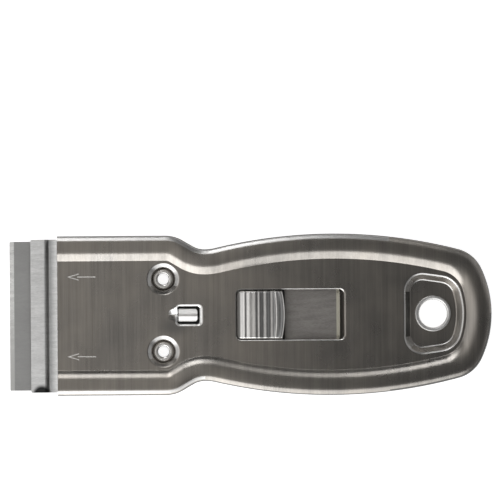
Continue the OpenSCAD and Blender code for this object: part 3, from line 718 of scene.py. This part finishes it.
# %% Places of painted sheen, highlight and shade
PLAIN, PAINTED_SHEEN, PAINTED_HIGHLIGHT, PAINTED_SHADE = range(4)
SHEEN_TO, BRIM_SHEEN = 84.0, 1.8  # where the painted sheen along the upper side ends, and how far below a rivet it reaches on the brim
FRONT_WALL_TO, CORNERS_TO, REAR_WALL_FROM = HANG_AT - 5.9, HANG_AT - 4.9, HANG_AT + 5.0
FRONT_HALF, CORNER_HALF, REAR_HALF = 5.6, 8.4, 6.0


def dome_painted_sheen(x, y):
    """Outer part of the rim: painted sheen on the head and along the upper side."""
    return PAINTED_SHEEN if x < NECK_AT or (y > 0 and x < SHEEN_TO) else PLAIN


def corner_sheen_and_shade(x, y):
    """Outer corner of the rim: painted sheen along the upper side, painted shade round the lower butt."""
    if y > 0:
        return PAINTED_SHEEN if x < SHEEN_TO else PLAIN
    return PAINTED_SHADE if x > SHEEN_TO else PLAIN


def brim_painted_sheen(rivet_y):
    """The upper part of a dimple's brim gets the painted sheen."""
    return lambda x, y: PAINTED_SHEEN if y > rivet_y - BRIM_SHEEN else PLAIN


def slot_painted_light(x, y):
    """Painted highlight along the lower side of the slot's edge, painted sheen on the rest; the rear end
    stays plain.
    """
    return PLAIN if x > SLOT_AT + SLOT_LEN else PAINTED_HIGHLIGHT if y < -SLOT_HALF else PAINTED_SHEEN


def dent_painted_highlight(x, y):
    """Painted highlight on the upper side of the dent."""
    return PAINTED_HIGHLIGHT if y > DENT_Y and x < WINDOW_AT and dent(x, y) > 0.02 else PLAIN


def pocket_sheen_and_shade(band):
    """Material of the pocket by bands, from its brim to its floor: painted sheen on the bends and on the
    front corners' walls, painted shade on the front wall and its foot.
    """
    bends = (PLAIN, PAINTED_SHEEN, PLAIN, PAINTED_SHEEN, PLAIN)
    front = (PLAIN, PAINTED_SHEEN, PAINTED_SHADE, PAINTED_SHADE, PAINTED_SHADE)
    corner = (PLAIN, PAINTED_SHEEN, PAINTED_SHEEN, PLAIN, PLAIN)
    rear = (PLAIN, PAINTED_SHEEN, PLAIN, PLAIN, PLAIN)

    def choose(x, y):
        if x < FRONT_WALL_TO and abs(y) < FRONT_HALF:
            return front[band]
        if x < CORNERS_TO and abs(y) < CORNER_HALF:
            return corner[band]
        return (rear if x > REAR_WALL_FROM and abs(y) < REAR_HALF else bends)[band]
    return choose


# %% [markdown]
# ## Two small arrows
# Open arrows beside the edge show which way the blade comes out. They are stamped a tenth of a
# millimetre deep, with slanted sides. A bump texture would look alike from above, but real
# grooves catch the light from the side as well.

# %% Stamp the arrows
ARROW_X, ARROW_YS, ARROW_DEEP = 2.75, (9.93, -10.42), 0.1
STROKE_TOP, STROKE_FOOT = 0.12, 0.07  # half the width of a stroke on the panel and at its foot


def arrow(x, y, half):
    """Outlines of an open arrow head that points to the blade and of the bar behind it."""
    reach, rise, bar_at, bar_end = 2.7, 0.8, 2.4, 6.9
    lean = atan2(rise, reach)
    out_x, out_y = half * sin(lean), half * cos(lean)
    tip = half / sin(lean)
    head = [(x - tip, y), (x + reach - out_x, y + rise + out_y), (x + reach + out_x, y + rise - out_y),
            (x + tip, y), (x + reach + out_x, y - rise + out_y), (x + reach - out_x, y - rise - out_y)]
    low, high = bar_at - half, bar_end + half
    bar = [(x + low, y + half), (x + high, y + half), (x + high, y - half), (x + low, y - half)]
    return [head, bar]


def stamp_arrows(bench):
    """Sink the arrows into the panel and return the outlines that the panel leaves open."""
    outlines, foot_z = [], PANEL_Z - ARROW_DEEP
    for y in ARROW_YS:
        for wide, narrow in zip(arrow(ARROW_X, y, STROKE_TOP), arrow(ARROW_X, y, STROKE_FOOT)):
            walls = [[(*p, PANEL_Z) for p in wide], [(*p, foot_z) for p in narrow]]
            # Painted sheen on the arrows' walls and a painted highlight on their floors.
            bench.grid(walls, closed=True, finish=PAINTED_SHEEN)
            bench.flat(narrow, [], foot_z, finish=PAINTED_HIGHLIGHT)
            outlines.append(wide)
    return outlines


# %% [markdown]
# ## The rim
# The rim's section is carried round the outline like a moulding. From the crest inward it leans
# towards a foot line of its own, because the panel's corners at the butt are rounder than a
# plain offset of the outline would give.

# %% Carry the rim round
WALL_ABOVE, DOME_SHEEN = 45, 19  # degrees: steeper gets the painted shade, flatter gets no painted sheen


def rim_rows(points):
    """The rim's section at every station. Beyond the crest it leans towards the rounder foot line."""
    rows = []
    for (place, inward), (foot, _) in zip(outline, foot_line):
        def across(d):
            if d <= CREST_END:
                return tuple(p + n * d for p, n in zip(place, inward))
            share = (d - CREST_END) / (RIM_W - CREST_END)
            return tuple(p + n * CREST_END + (f - p - n * CREST_END) * share
                         for p, n, f in zip(place, inward, foot))
        rows.append([(*across(d), z) for d, z in points])
    return rows


def press_rim(bench):
    """The rim from its wall to the panel; returns the panel's outline on both faces."""
    top, under = map(rim_rows, both_faces(rim_line, SHEET))
    wall_end, corner_end, sheen_end = (sum(heading > limit for point, heading in rim_line)
                                        for limit in (WALL_ABOVE, DOME_TURN + 1, DOME_SHEEN))
    # Painted shade on the steep outer wall; painted sheen on the corner and the dome where their rules give
    # it.
    bench.grid([row[:wall_end] for row in top], finish=PAINTED_SHADE)
    bench.grid([row[wall_end - 1:corner_end + 1] for row in top], finish=corner_sheen_and_shade)
    bench.grid([row[corner_end:sheen_end + 1] for row in top], finish=dome_painted_sheen)
    bench.grid([row[sheen_end:] for row in top])
    bench.grid(under)
    outer_edge = [[row[0] for row in face] for face in (top, under)]
    # The cut edges and ends of the sheet get the painted sheen.
    for edge in (outer_edge, [top[0], under[0]], [top[-1], under[-1]]):
        bench.grid(edge, finish=PAINTED_SHEEN)
    bench.face(bench.add([top[0][-1], top[-1][-1], under[-1][-1], under[0][-1]]), PAINTED_SHEEN)
    return [[row[-1][:2] for row in face] for face in (top, under)]


# %% [markdown]
# ## Dimples, pocket and openings
# Each form is pressed or punched on its own and returns its outline on both faces of the sheet.
# The flat panel leaves these outlines open when it is filled, so everything meets edge to edge.

# %% Press the dimples and the pocket
EYELET_HOLE_R, BENT_FROM = 4.0, 12  # mm; degrees from which the pocket's bends get the painted sheen
BAND_FROM, BAND_PAST = 0.3, 0.1  # mm that a dimple's band of painted sheen starts after and reaches past its brim


def press_dimple(bench, y):
    faces = [[[(*p, z) for p in circle(RIVET_AT, y, DIMPLE_R - d)] for d, z in line]
             for line in both_faces(dimple_line, SHEET)]
    top, under = faces
    reach = (BAND_FROM, BRIM_R * sin(brim) + BRIM_FLAT * cos(brim) + BAND_PAST)
    first, last = (sum(d < end for d, z in upper_face(dimple_line)) for end in reach)
    bench.grid(top[:first], closed=True)
    bench.grid(top[first - 1:last], closed=True, finish=brim_painted_sheen(y))
    for rows in (top[last - 1:], under, [top[-1], under[-1]]):
        bench.grid(rows, closed=True)
    return [[p[:2] for p in face[0]] for face in faces]


def press_pocket(bench):
    hole = circle(HANG_AT, 0.0, EYELET_HOLE_R)
    bent, steep = ([k for k, (point, heading) in enumerate(pocket_line) if heading < limit]
                   for limit in (-BENT_FROM, 1 - POCKET_TURN))
    marks = [0, bent[0], steep[0], steep[-1], bent[-1], len(pocket_line) - 1]
    edges, hole_edges = [], []
    for line, floor_z in zip(both_faces(pocket_line, SHEET), (MID_Z + SHEET, MID_Z)):
        rows = [[(p[0] + n[0] * d, p[1] + n[1] * d, z) for d, z in line] for p, n in pocket_round]
        for band, (start, stop) in enumerate(zip(marks, marks[1:])):
            bench.grid([row[start:stop + 1] for row in rows], ring=True,
                       finish=pocket_sheen_and_shade(band) if floor_z > MID_Z else PLAIN)
        bench.flat([row[-1][:2] for row in rows], [hole], floor_z)
        edges.append([row[0][:2] for row in rows])
        hole_edges.append([(*p, floor_z) for p in hole])
    bench.grid(hole_edges, closed=True)
    return edges


# %% Punch the slot and the window
def punch_slot(bench):
    rings = slot_rings()
    bench.grid(rings[:2], closed=True)
    # Painted sheen on the slot's rolled edge, with a painted highlight along its lower side.
    bench.grid(rings[1:BEVEL_STEPS + 2], closed=True, finish=slot_painted_light)
    bench.grid(rings[BEVEL_STEPS + 1:], closed=True)
    return [[p[:2] for p in ring] for ring in (rings[-1], rings[0])]


def punch_window(bench):
    rings, below = window_rings()
    bench.grid([below[0], rings[0]], closed=True)
    # Painted highlight on the window's rolled edge, and on the upper side of the dent in front of it.
    bench.grid(rings[:BEVEL_STEPS + 1], closed=True, finish=PAINTED_HIGHLIGHT)
    bench.grid(rings[BEVEL_STEPS:], closed=True, finish=dent_painted_highlight)
    bench.grid(below, closed=True)
    return [[p[:2] for p in loops[-1]] for loops in (rings, below)]


# %% [markdown]
# ## Both halves
# The two halves come from the same die. The front one then gets its slot, its window and the
# arrows, and the back one is the plain half turned over.

# %% Press both halves
def half_shell(front):
    bench = Bench()
    top, under = press_rim(bench)
    openings = [press_dimple(bench, y) for y in (RIVET_Y, -RIVET_Y)] + [press_pocket(bench)]
    if front:
        openings += [punch_slot(bench), punch_window(bench)]
    holes_top, holes_under = (list(loops) for loops in zip(*openings))
    bench.flat(top, holes_top + (stamp_arrows(bench) if front else []), PANEL_Z)
    bench.flat(under, holes_under, PANEL_Z - SHEET)
    return bench


# The shell's steel and its copies with painted sheen, painted highlight and painted shade, in the order of
# the four finishes.
shell_metals = [shell_steel, painted_sheen_steel, painted_highlight_steel, painted_shade_steel]
half_shell(True).body("front_half", shell_metals, "handle", "brushed_shell", ["front_shell"])
back_bench = half_shell(False)
back_bench.points = [(x, y, THICK - z) for x, y, z in back_bench.points]
back_bench.body("back_half", shell_metals, "handle", "brushed_shell", ["back_shell"])


# %% [markdown]
# ## Rivets and eyelet
# The halves are clamped by tubular rivets: a tube whose ends are rolled outward into domed rings.
# A rolled ring is a section turned round an axis, so it is spun here with many fine steps.

# %% Spin the rolled tubes
ROLL_STEP = 9  # degrees


def spun(bench, x, y, profile, count=96):
    """Turn a section of radii and heights round an upright axis."""
    bench.grid([[(x + r * cos(a), y + r * sin(a), z) for r, z in profile]
                for a in even_angles(count)], closed=True, ring=True)


def rolled_tube(hole_r, barrel_r, head_r, head_t):
    """Section of a tube with both ends rolled out; each roll is two quarter turns."""
    roll = head_t / 2
    upper = [(hole_r, 0.0), (hole_r, SHEET)]
    quarters = (((hole_r + head_t, SHEET), head_t, 180), ((head_r - roll, SHEET + roll), roll, 90))
    for centre, r, start in quarters:
        upper += [on_arc(centre, r, start - ROLL_STEP * k) for k in range(90 // ROLL_STEP + 1)]
    upper += [(head_r, SHEET), (barrel_r, SHEET), (barrel_r, 0.0)]
    lower = [(r, -z) for r, z in reversed(upper) if z > 0]
    return [(r, MID_Z + z) for r, z in upper + lower]


rivets, rivet_section = Bench(), rolled_tube(hole_r=1.375, barrel_r=1.725, head_r=2.35, head_t=0.45)
for y in (RIVET_Y, -RIVET_Y):
    spun(rivets, RIVET_AT, y, rivet_section)
rivets.body("rolled_rivets", [rivet_steel], "handle", "bright_rivet", ["shell_rivets"])
eyelet = Bench()
spun(eyelet, HANG_AT, 0.0, rolled_tube(HANG_R, HANG_R + EYELET_WALL, head_r=4.6, head_t=0.6), count=128)
eyelet.body("rolled_eyelet", [eyelet_steel], "handle", "bright_rivet", ["hang_eyelet"])


# %% [markdown]
# ## The carrier that holds the blade
# A folded sheet grips the blade between two jaws. A groove pressed across the upper jaw holds the
# back of the blade down, and the whole slides between the shells.

# %% Draw a section out
def drawn_across(bench, section, half_width, finish=0, shift=0.0):
    """A section in X and Z drawn out across the handle, closed by its two end faces."""
    rows = [[(x, shift + y, z) for x, z in section] for y in (-half_width, half_width)]
    bench.grid(rows, closed=True, finish=finish)
    for row in rows:
        index = bench.add(row)
        for triangle in tessellate_polygon([[(x, z, 0.0) for x, z in section]]):
            bench.face([index[i] for i in triangle], finish)


def folded(line, thickness):
    """Section of a sheet that follows a traced line."""
    upper, lower = both_faces(line, thickness)
    return upper + lower[::-1]


# %% Fold the jaws
JAW_HALF, JAW_T, LIP_X, LIP_LEN, JAW_END = 19.55, 0.7, -6.85, 3.4, 7.4
CARRIER_Z, JAW_TOP_Z, SPINE_END = 2.2, 5.65, 6.7
GROOVE_DEEP, GROOVE_TOP_R, GROOVE_FOOT_R, FRONT_TURN, BACK_TURN = 0.8, 0.8, 0.5, 45, 25
TANG_END, TANG_HALF, EAR_LEN, EAR_HALF, EAR_Y = 14.4, 4.8, 0.4, 2.85, 16.7
LOWER_LIP_BACK, OVERLAP, EAR_BACK = 0.4, 0.1, 0.2
UPPER_JAW, LOWER_JAW = range(2)
front_len, front_run = slope(GROOVE_DEEP, GROOVE_TOP_R, GROOVE_FOOT_R, FRONT_TURN)
back_len, back_run = slope(GROOVE_DEEP, GROOVE_TOP_R, GROOVE_FOOT_R, BACK_TURN)
jaw_line = trace((LIP_X, JAW_TOP_Z), 0, [
    (LIP_LEN, GROOVE_TOP_R, -FRONT_TURN), (front_len, GROOVE_FOOT_R, FRONT_TURN),
    (0, GROOVE_FOOT_R, BACK_TURN), (back_len, GROOVE_TOP_R, -BACK_TURN),
    (JAW_END - LIP_X - LIP_LEN - front_run - back_run, 0, 0)])
carrier = Bench()
drawn_across(carrier, folded(jaw_line, JAW_T), JAW_HALF, finish=UPPER_JAW)
plate_top = CARRIER_Z + JAW_T
plates = ((LIP_X + LOWER_LIP_BACK, JAW_END, JAW_HALF), (JAW_END - OVERLAP, TANG_END, TANG_HALF))
for start, end, half in plates:
    flat_plate = [(start, CARRIER_Z), (end, CARRIER_Z), (end, plate_top), (start, plate_top)]
    drawn_across(carrier, flat_plate, half, finish=LOWER_JAW)
ear_line = trace((SPINE_END - EAR_BACK, JAW_TOP_Z), 0, [
    (EAR_LEN, (JAW_TOP_Z - CARRIER_Z) / 2, -180), (EAR_LEN, 0, 0)], fine=8)
for y in (EAR_Y, -EAR_Y):
    drawn_across(carrier, folded(ear_line, JAW_T), EAR_HALF, finish=LOWER_JAW, shift=y)
carrier.body("jaws", [jaw_steel, lower_jaw_steel], "carrier", "carrier_sheet", ["blade_carrier"])


# %% [markdown]
# ## The blade
# A single edge blade: thin hardened steel ground to an edge in two steps, with a folded spine on
# its back. Grinding leaves bright bands along the edge, so the two steps get their own finish.

# %% Grind the blade
EDGE_X, BLADE_BACK, BLADE_MID, BLADE_HALF = -12.3, SPINE_END - 0.4, 3.5, 19.05
HONED_TO, GROUND_TO = 0.35, 1.15  # how far behind the edge each ground step ends
TIP_T, HONED_T, BLADE_T = 0.02, 0.09, 0.23
section = [(EDGE_X, TIP_T / 2), (EDGE_X + HONED_TO, HONED_T / 2), (EDGE_X + GROUND_TO, BLADE_T / 2),
           (BLADE_BACK, BLADE_T / 2)]
ring = section + [(x, -z) for x, z in reversed(section)]
blade, ys = Bench(), (-BLADE_HALF, BLADE_HALF)
blade.grid([[(x, y, BLADE_MID + z) for x, z in ring] for y in ys], closed=True)
for y in ys:
    for (xa, za), (xb, zb) in zip(section, section[1:]):
        corners = ((xa, za), (xb, zb), (xb, -zb), (xa, -za))
        blade.face(blade.add([(x, y, BLADE_MID + z) for x, z in corners]))
blade_piece = blade.body(
    "ground_blade", [blade_steel, ground_edge], "blade", "blade_steel", ["razor_blade"], corner=2)
for face in blade_piece.data.polygons:
    if face.center.x < (EDGE_X + GROUND_TO + MOUTH_X) * MM:
        face.material_index = 1


# %% [markdown]
# ## The thumb pad
# The pad is stamped with ribs across it for grip. Its arch is highest near the front, and the rear
# edge is bowed. It is drawn as one profile along the handle and cut to its plan outline.

# %% Profile of the pad
PAD_X0, PAD_LEN, PAD_HALF, PAD_TOP, PAD_BASE = 46.0, 12.0, 6.05, 8.685, 5.75
PEAK, FRONT_FALL, REAR_FALL = 0.36, 0.95, 0.9
RIDGES = [-0.2, 1.7, 2.95, 4.5, 5.6, 7.4, 9.1, 10.15, 12.15]
VALLEY_DEPTHS = [0.22, 0.24, 0.06, 0.14, 0.2, 0.22, 0.14, 0.3]
LAST_LEAN = 2.2  # the last valley is deepest close to the rear edge
BOW, BOW_FROM, EDGE_FALL, EDGE_FROM, REAR_FROM = 0.7, 0.82, 0.4, 0.95, 0.8
PAD_ROWS, PAD_STEPS = 40, 240
# Stretches of the pad, in mm from its front, that get painted shade.
SHADE_FROM, SHADE_TO, REAR_SHADE_FROM = 4.6, 9.0, 10.6


def pad_height(x):
    """Height at a distance from the pad's front: an arch with a valley between each two ridges."""
    s = x / PAD_LEN
    drop = FRONT_FALL * ((PEAK - s) / PEAK) ** 2 if s < PEAK else REAR_FALL * ((s - PEAK) / (1 - PEAK)) ** 2
    for start, end, deep in zip(RIDGES, RIDGES[1:], VALLEY_DEPTHS):
        if start < x < end:
            lean = LAST_LEAN if end == RIDGES[-1] else 1.0
            drop += deep * (1 - cos(2 * pi * ((x - start) / (end - start)) ** lean)) / 2
    return PAD_TOP - drop


def pad_rows():
    """Rows along the handle, closer together towards both sides, where the pad's edge turns down."""
    rows = []
    for j in range(PAD_ROWS + 1):
        place = sin(pi / 2 * (2 * j / PAD_ROWS - 1))
        side, row = abs(place), []
        front = BOW * max(0.0, (side - BOW_FROM) / (1 - BOW_FROM)) ** 2
        rear = BOW * side ** 2
        edge = EDGE_FALL * max(0.0, (side - EDGE_FROM) / (1 - EDGE_FROM)) ** 2
        for k in range(PAD_STEPS + 1):
            x = front + (PAD_LEN - front - rear) * k / PAD_STEPS
            bowed = rear * max(0.0, (k / PAD_STEPS - REAR_FROM) / (1 - REAR_FROM)) ** 0.5
            row.append((PAD_X0 + x, PAD_HALF * place, pad_height(min(PAD_LEN, x + bowed)) - edge))
        rows.append(row)
    return rows


def pad_shade_choice(x, y):
    """Painted shade on the middle ribs and the rear edge; the front ribs and the last one keep the pad's own
    steel.
    """
    return 1 if SHADE_FROM < x - PAD_X0 < SHADE_TO or x - PAD_X0 > REAR_SHADE_FROM else 0


# %% Stamp the pad
pad, rows = Bench(), pad_rows()
pad.grid(rows, finish=pad_shade_choice)
for edge in (rows[0], rows[-1], [row[0] for row in rows], [row[-1] for row in rows]):
    pad.grid([edge, [(x, y, PAD_BASE) for x, y, z in edge]])
pad.grid([[(x, y, PAD_BASE) for x, y, z in row] for row in rows])

# %% Add the flange and the studs
FLANGE_HALF, FLANGE_R, FLANGE_Z = 6.9, 1.2, 5.1
STUD_R, PEENED_R, PEENED_Z, PEENED_T, STUD_IN, AXIS = 1.0, 1.6, 4.5, 0.4, 3.2, 0.001
flange = rounded(PAD_X0, PAD_X0 + PAD_LEN, FLANGE_HALF, FLANGE_R, side=1)
pad.grid([[(x, y, z) for x, y in flange] for z in (FLANGE_Z, PAD_BASE)], closed=True)
for z in (FLANGE_Z, PAD_BASE):
    pad.flat(flange, [], z)
stud = [(AXIS, FLANGE_Z), (STUD_R, FLANGE_Z), (STUD_R, PEENED_Z), (PEENED_R, PEENED_Z)]
for a in map(radians, (20, 40, 60, 80)):
    stud.append((PEENED_R * cos(a), PEENED_Z - PEENED_T * sin(a)))
stud.append((AXIS, PEENED_Z - PEENED_T))
for x in (PAD_X0 + STUD_IN, PAD_X0 + PAD_LEN - STUD_IN):
    spun(pad, x, 0.0, stud, count=32)
pad.body("ribbed_pad", [pad_steel, pad_painted_shade_steel], "thumb_slide", "polished_pad", ["thumb_button"])


# %% [markdown]
# ## Pieces that keep their measured shape
# The strip, the spring with its nose, the small rivets and the folded spine are right as they are.
# They only need their metals and smooth shading.

# %% Dress the measured pieces
SMOOTH_TO = 25  # degrees; sharper corners stay sharp
measured = {"slide_strip": strip_steel, "lock_spring": nose_steel, "spring_rivet": rivet_steel,
            "carrier_rivets": rivet_steel, "blade_spine": spine_steel}
for name, material in measured.items():
    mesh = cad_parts[name].data
    mesh.materials.clear()
    mesh.materials.append(material)
    mesh.shade_smooth()
    mesh.set_sharp_from_angle(angle=radians(SMOOTH_TO))
print("dressed as measured:", ", ".join(measured))


# %% [markdown]
# ## The table
# The scraper lies on a pale sheet that is lit from below. The sheet glows for the camera and in
# reflections, but lights nothing itself, so that the metal keeps its contrast. It ends in a low
# upturned edge far away, so no hard horizon shows in the polished rims.

# %% Table
TABLE_TINT, TABLE_GLOW, TABLE_STEPS, TABLE_GAP = 0.62, 0.85, 64, 0.00002
TABLE_PROFILE = [(5.0, 0.0), (5.6, 0.1), (6.0, 0.5), (6.1, 1.2)]  # radii and heights in metres


def glowing_table():
    material, tree = blank_material("pale_table")
    matt = filled(tree, node(tree, "BsdfDiffuse"), Color=(TABLE_TINT, TABLE_TINT, TABLE_TINT, 1.0))
    rays = node(tree, "LightPath").outputs
    mirrored = math_node(tree, "MAXIMUM", rays["Is Glossy Ray"], rays["Is Transmission Ray"])
    seen = math_node(tree, "MAXIMUM", rays["Is Camera Ray"], mirrored)
    strength = math_node(tree, "MULTIPLY", seen, TABLE_GLOW)
    glow = filled(tree, node(tree, "Emission"), Strength=strength)
    both = node(tree, "AddShader")
    for shader, socket in zip((matt, glow), both.inputs):
        tree.links.new(shader.outputs[0], socket)
    filled(tree, node(tree, "OutputMaterial"), Surface=both.outputs[0])
    return material


bm = bmesh.new()
middle = bm.verts.new((0, 0, -TABLE_GAP))
rings = [[bm.verts.new((*p, z - TABLE_GAP)) for p in circle(0.0, 0.0, r, TABLE_STEPS)]
         for r, z in TABLE_PROFILE]
for k in range(TABLE_STEPS):
    m = (k + 1) % TABLE_STEPS
    bm.faces.new((middle, rings[0][k], rings[0][m]))
    for a, b in zip(rings, rings[1:]):
        bm.faces.new((a[k], b[k], b[m], a[m]))
bmesh.ops.recalc_face_normals(bm, faces=bm.faces)
table_mesh = bpy.data.meshes.new("table")
bm.to_mesh(table_mesh)
bm.free()
table_mesh.materials.append(glowing_table())
table = into_scene("table", table_mesh)
print("table faces:", len(table_mesh.polygons))


# %% [markdown]
# ## Lamps
# Polished metal shows what stands round it more than its own colour. A dim soft panel hangs over
# the scraper, two bright ones stand on the near side and a far one faces them, so that each slope
# of the rim finds something to mirror. Three weak ones keep the left, the right and the rear
# corner from going black. A picture of a real room would be quicker, but harder to aim.

# %% Lamps and world
WARM, COOL, WHITE, WORLD_GLOW = (1.0, 0.968, 0.925), (0.98, 0.99, 1.0), (1.0, 1.0, 1.0), 0.1
PANELS = [  # name, place, aim and size in metres, brightness, colour
    ("overhead", (-0.149, 0.0, 0.152), (-0.149, 0.0, 0.0), (0.304, 0.28), 0.345, WARM),
    ("near_left", (-0.26, -0.306, 0.163), (-0.26, 0.0, 0.0), (0.48, 0.32), 3.0, COOL),
    ("near_right", (0.09, -0.306, 0.163), (0.09, 0.0, 0.0), (0.22, 0.32), 1.5, COOL),
    ("far_side", (-0.2, 0.60, 0.54), (-0.2, 0.0, 0.0), (0.3, 0.30), 4.2, COOL),
    ("left_side", (-0.68, 0.0, 0.57), (0.0, 0.0, 0.0), (0.7, 0.8), 0.6, WHITE),
    ("right_side", (0.44, -0.08, 0.19), (0.0, -0.01, 0.0), (0.36, 0.16), 0.4, COOL),
    ("rear_corner", (0.45, 0.28, 0.38), (0.0, 0.0, 0.0), (0.4, 0.3), 0.45, COOL)]


def soft_panel(name, place, aim, size, radiance, colour):
    """A rectangular lamp that shines with the same brightness from every point of its face."""
    lamp = bpy.data.lights.new(name, "AREA")
    lamp.shape = "RECTANGLE"
    lamp.size, lamp.size_y = size
    lamp.energy = radiance * pi * size[0] * size[1]
    lamp.color = colour
    made = into_scene(name, lamp)
    made.location = place
    made.rotation_euler = (Vector(aim) - Vector(place)).to_track_quat("-Z", "Y").to_euler()
    made.visible_camera = False


for panel in PANELS:
    soft_panel(*panel)
world = bpy.data.worlds.new("studio")
world.use_nodes = True
filled(world.node_tree, world.node_tree.nodes["Background"], Color=(1.0, 1.0, 1.0, 1.0), Strength=WORLD_GLOW)
bpy.context.scene.world = world
print("lamps:", len(PANELS))


# %% [markdown]
# ## Camera
# The photograph looks straight down from far away with a long lens, so parallel edges stay
# parallel. The scraper lies a little below the middle of the picture, turned by a third of a degree.

# %% Camera straight above
LENS, SENSOR, PICTURE_W, AIM_Y, TURN = 400.0, 36.0, 127.5, 16.54, 0.4
lens = bpy.data.cameras.new("camera")
lens.lens = LENS
lens.sensor_width = SENSOR
lens.clip_start, lens.clip_end = 0.1, 20.0
camera = into_scene("camera", lens)
distance = PICTURE_W / SENSOR * LENS
camera.location = (0.0, AIM_Y * MM, (THICK + distance) * MM)
camera.rotation_euler = (0.0, 0.0, -radians(TURN))
bpy.context.scene.camera = camera
bpy.context.scene.view_settings.view_transform = "Standard"
print("camera stands", round(distance), "mm above the rim")
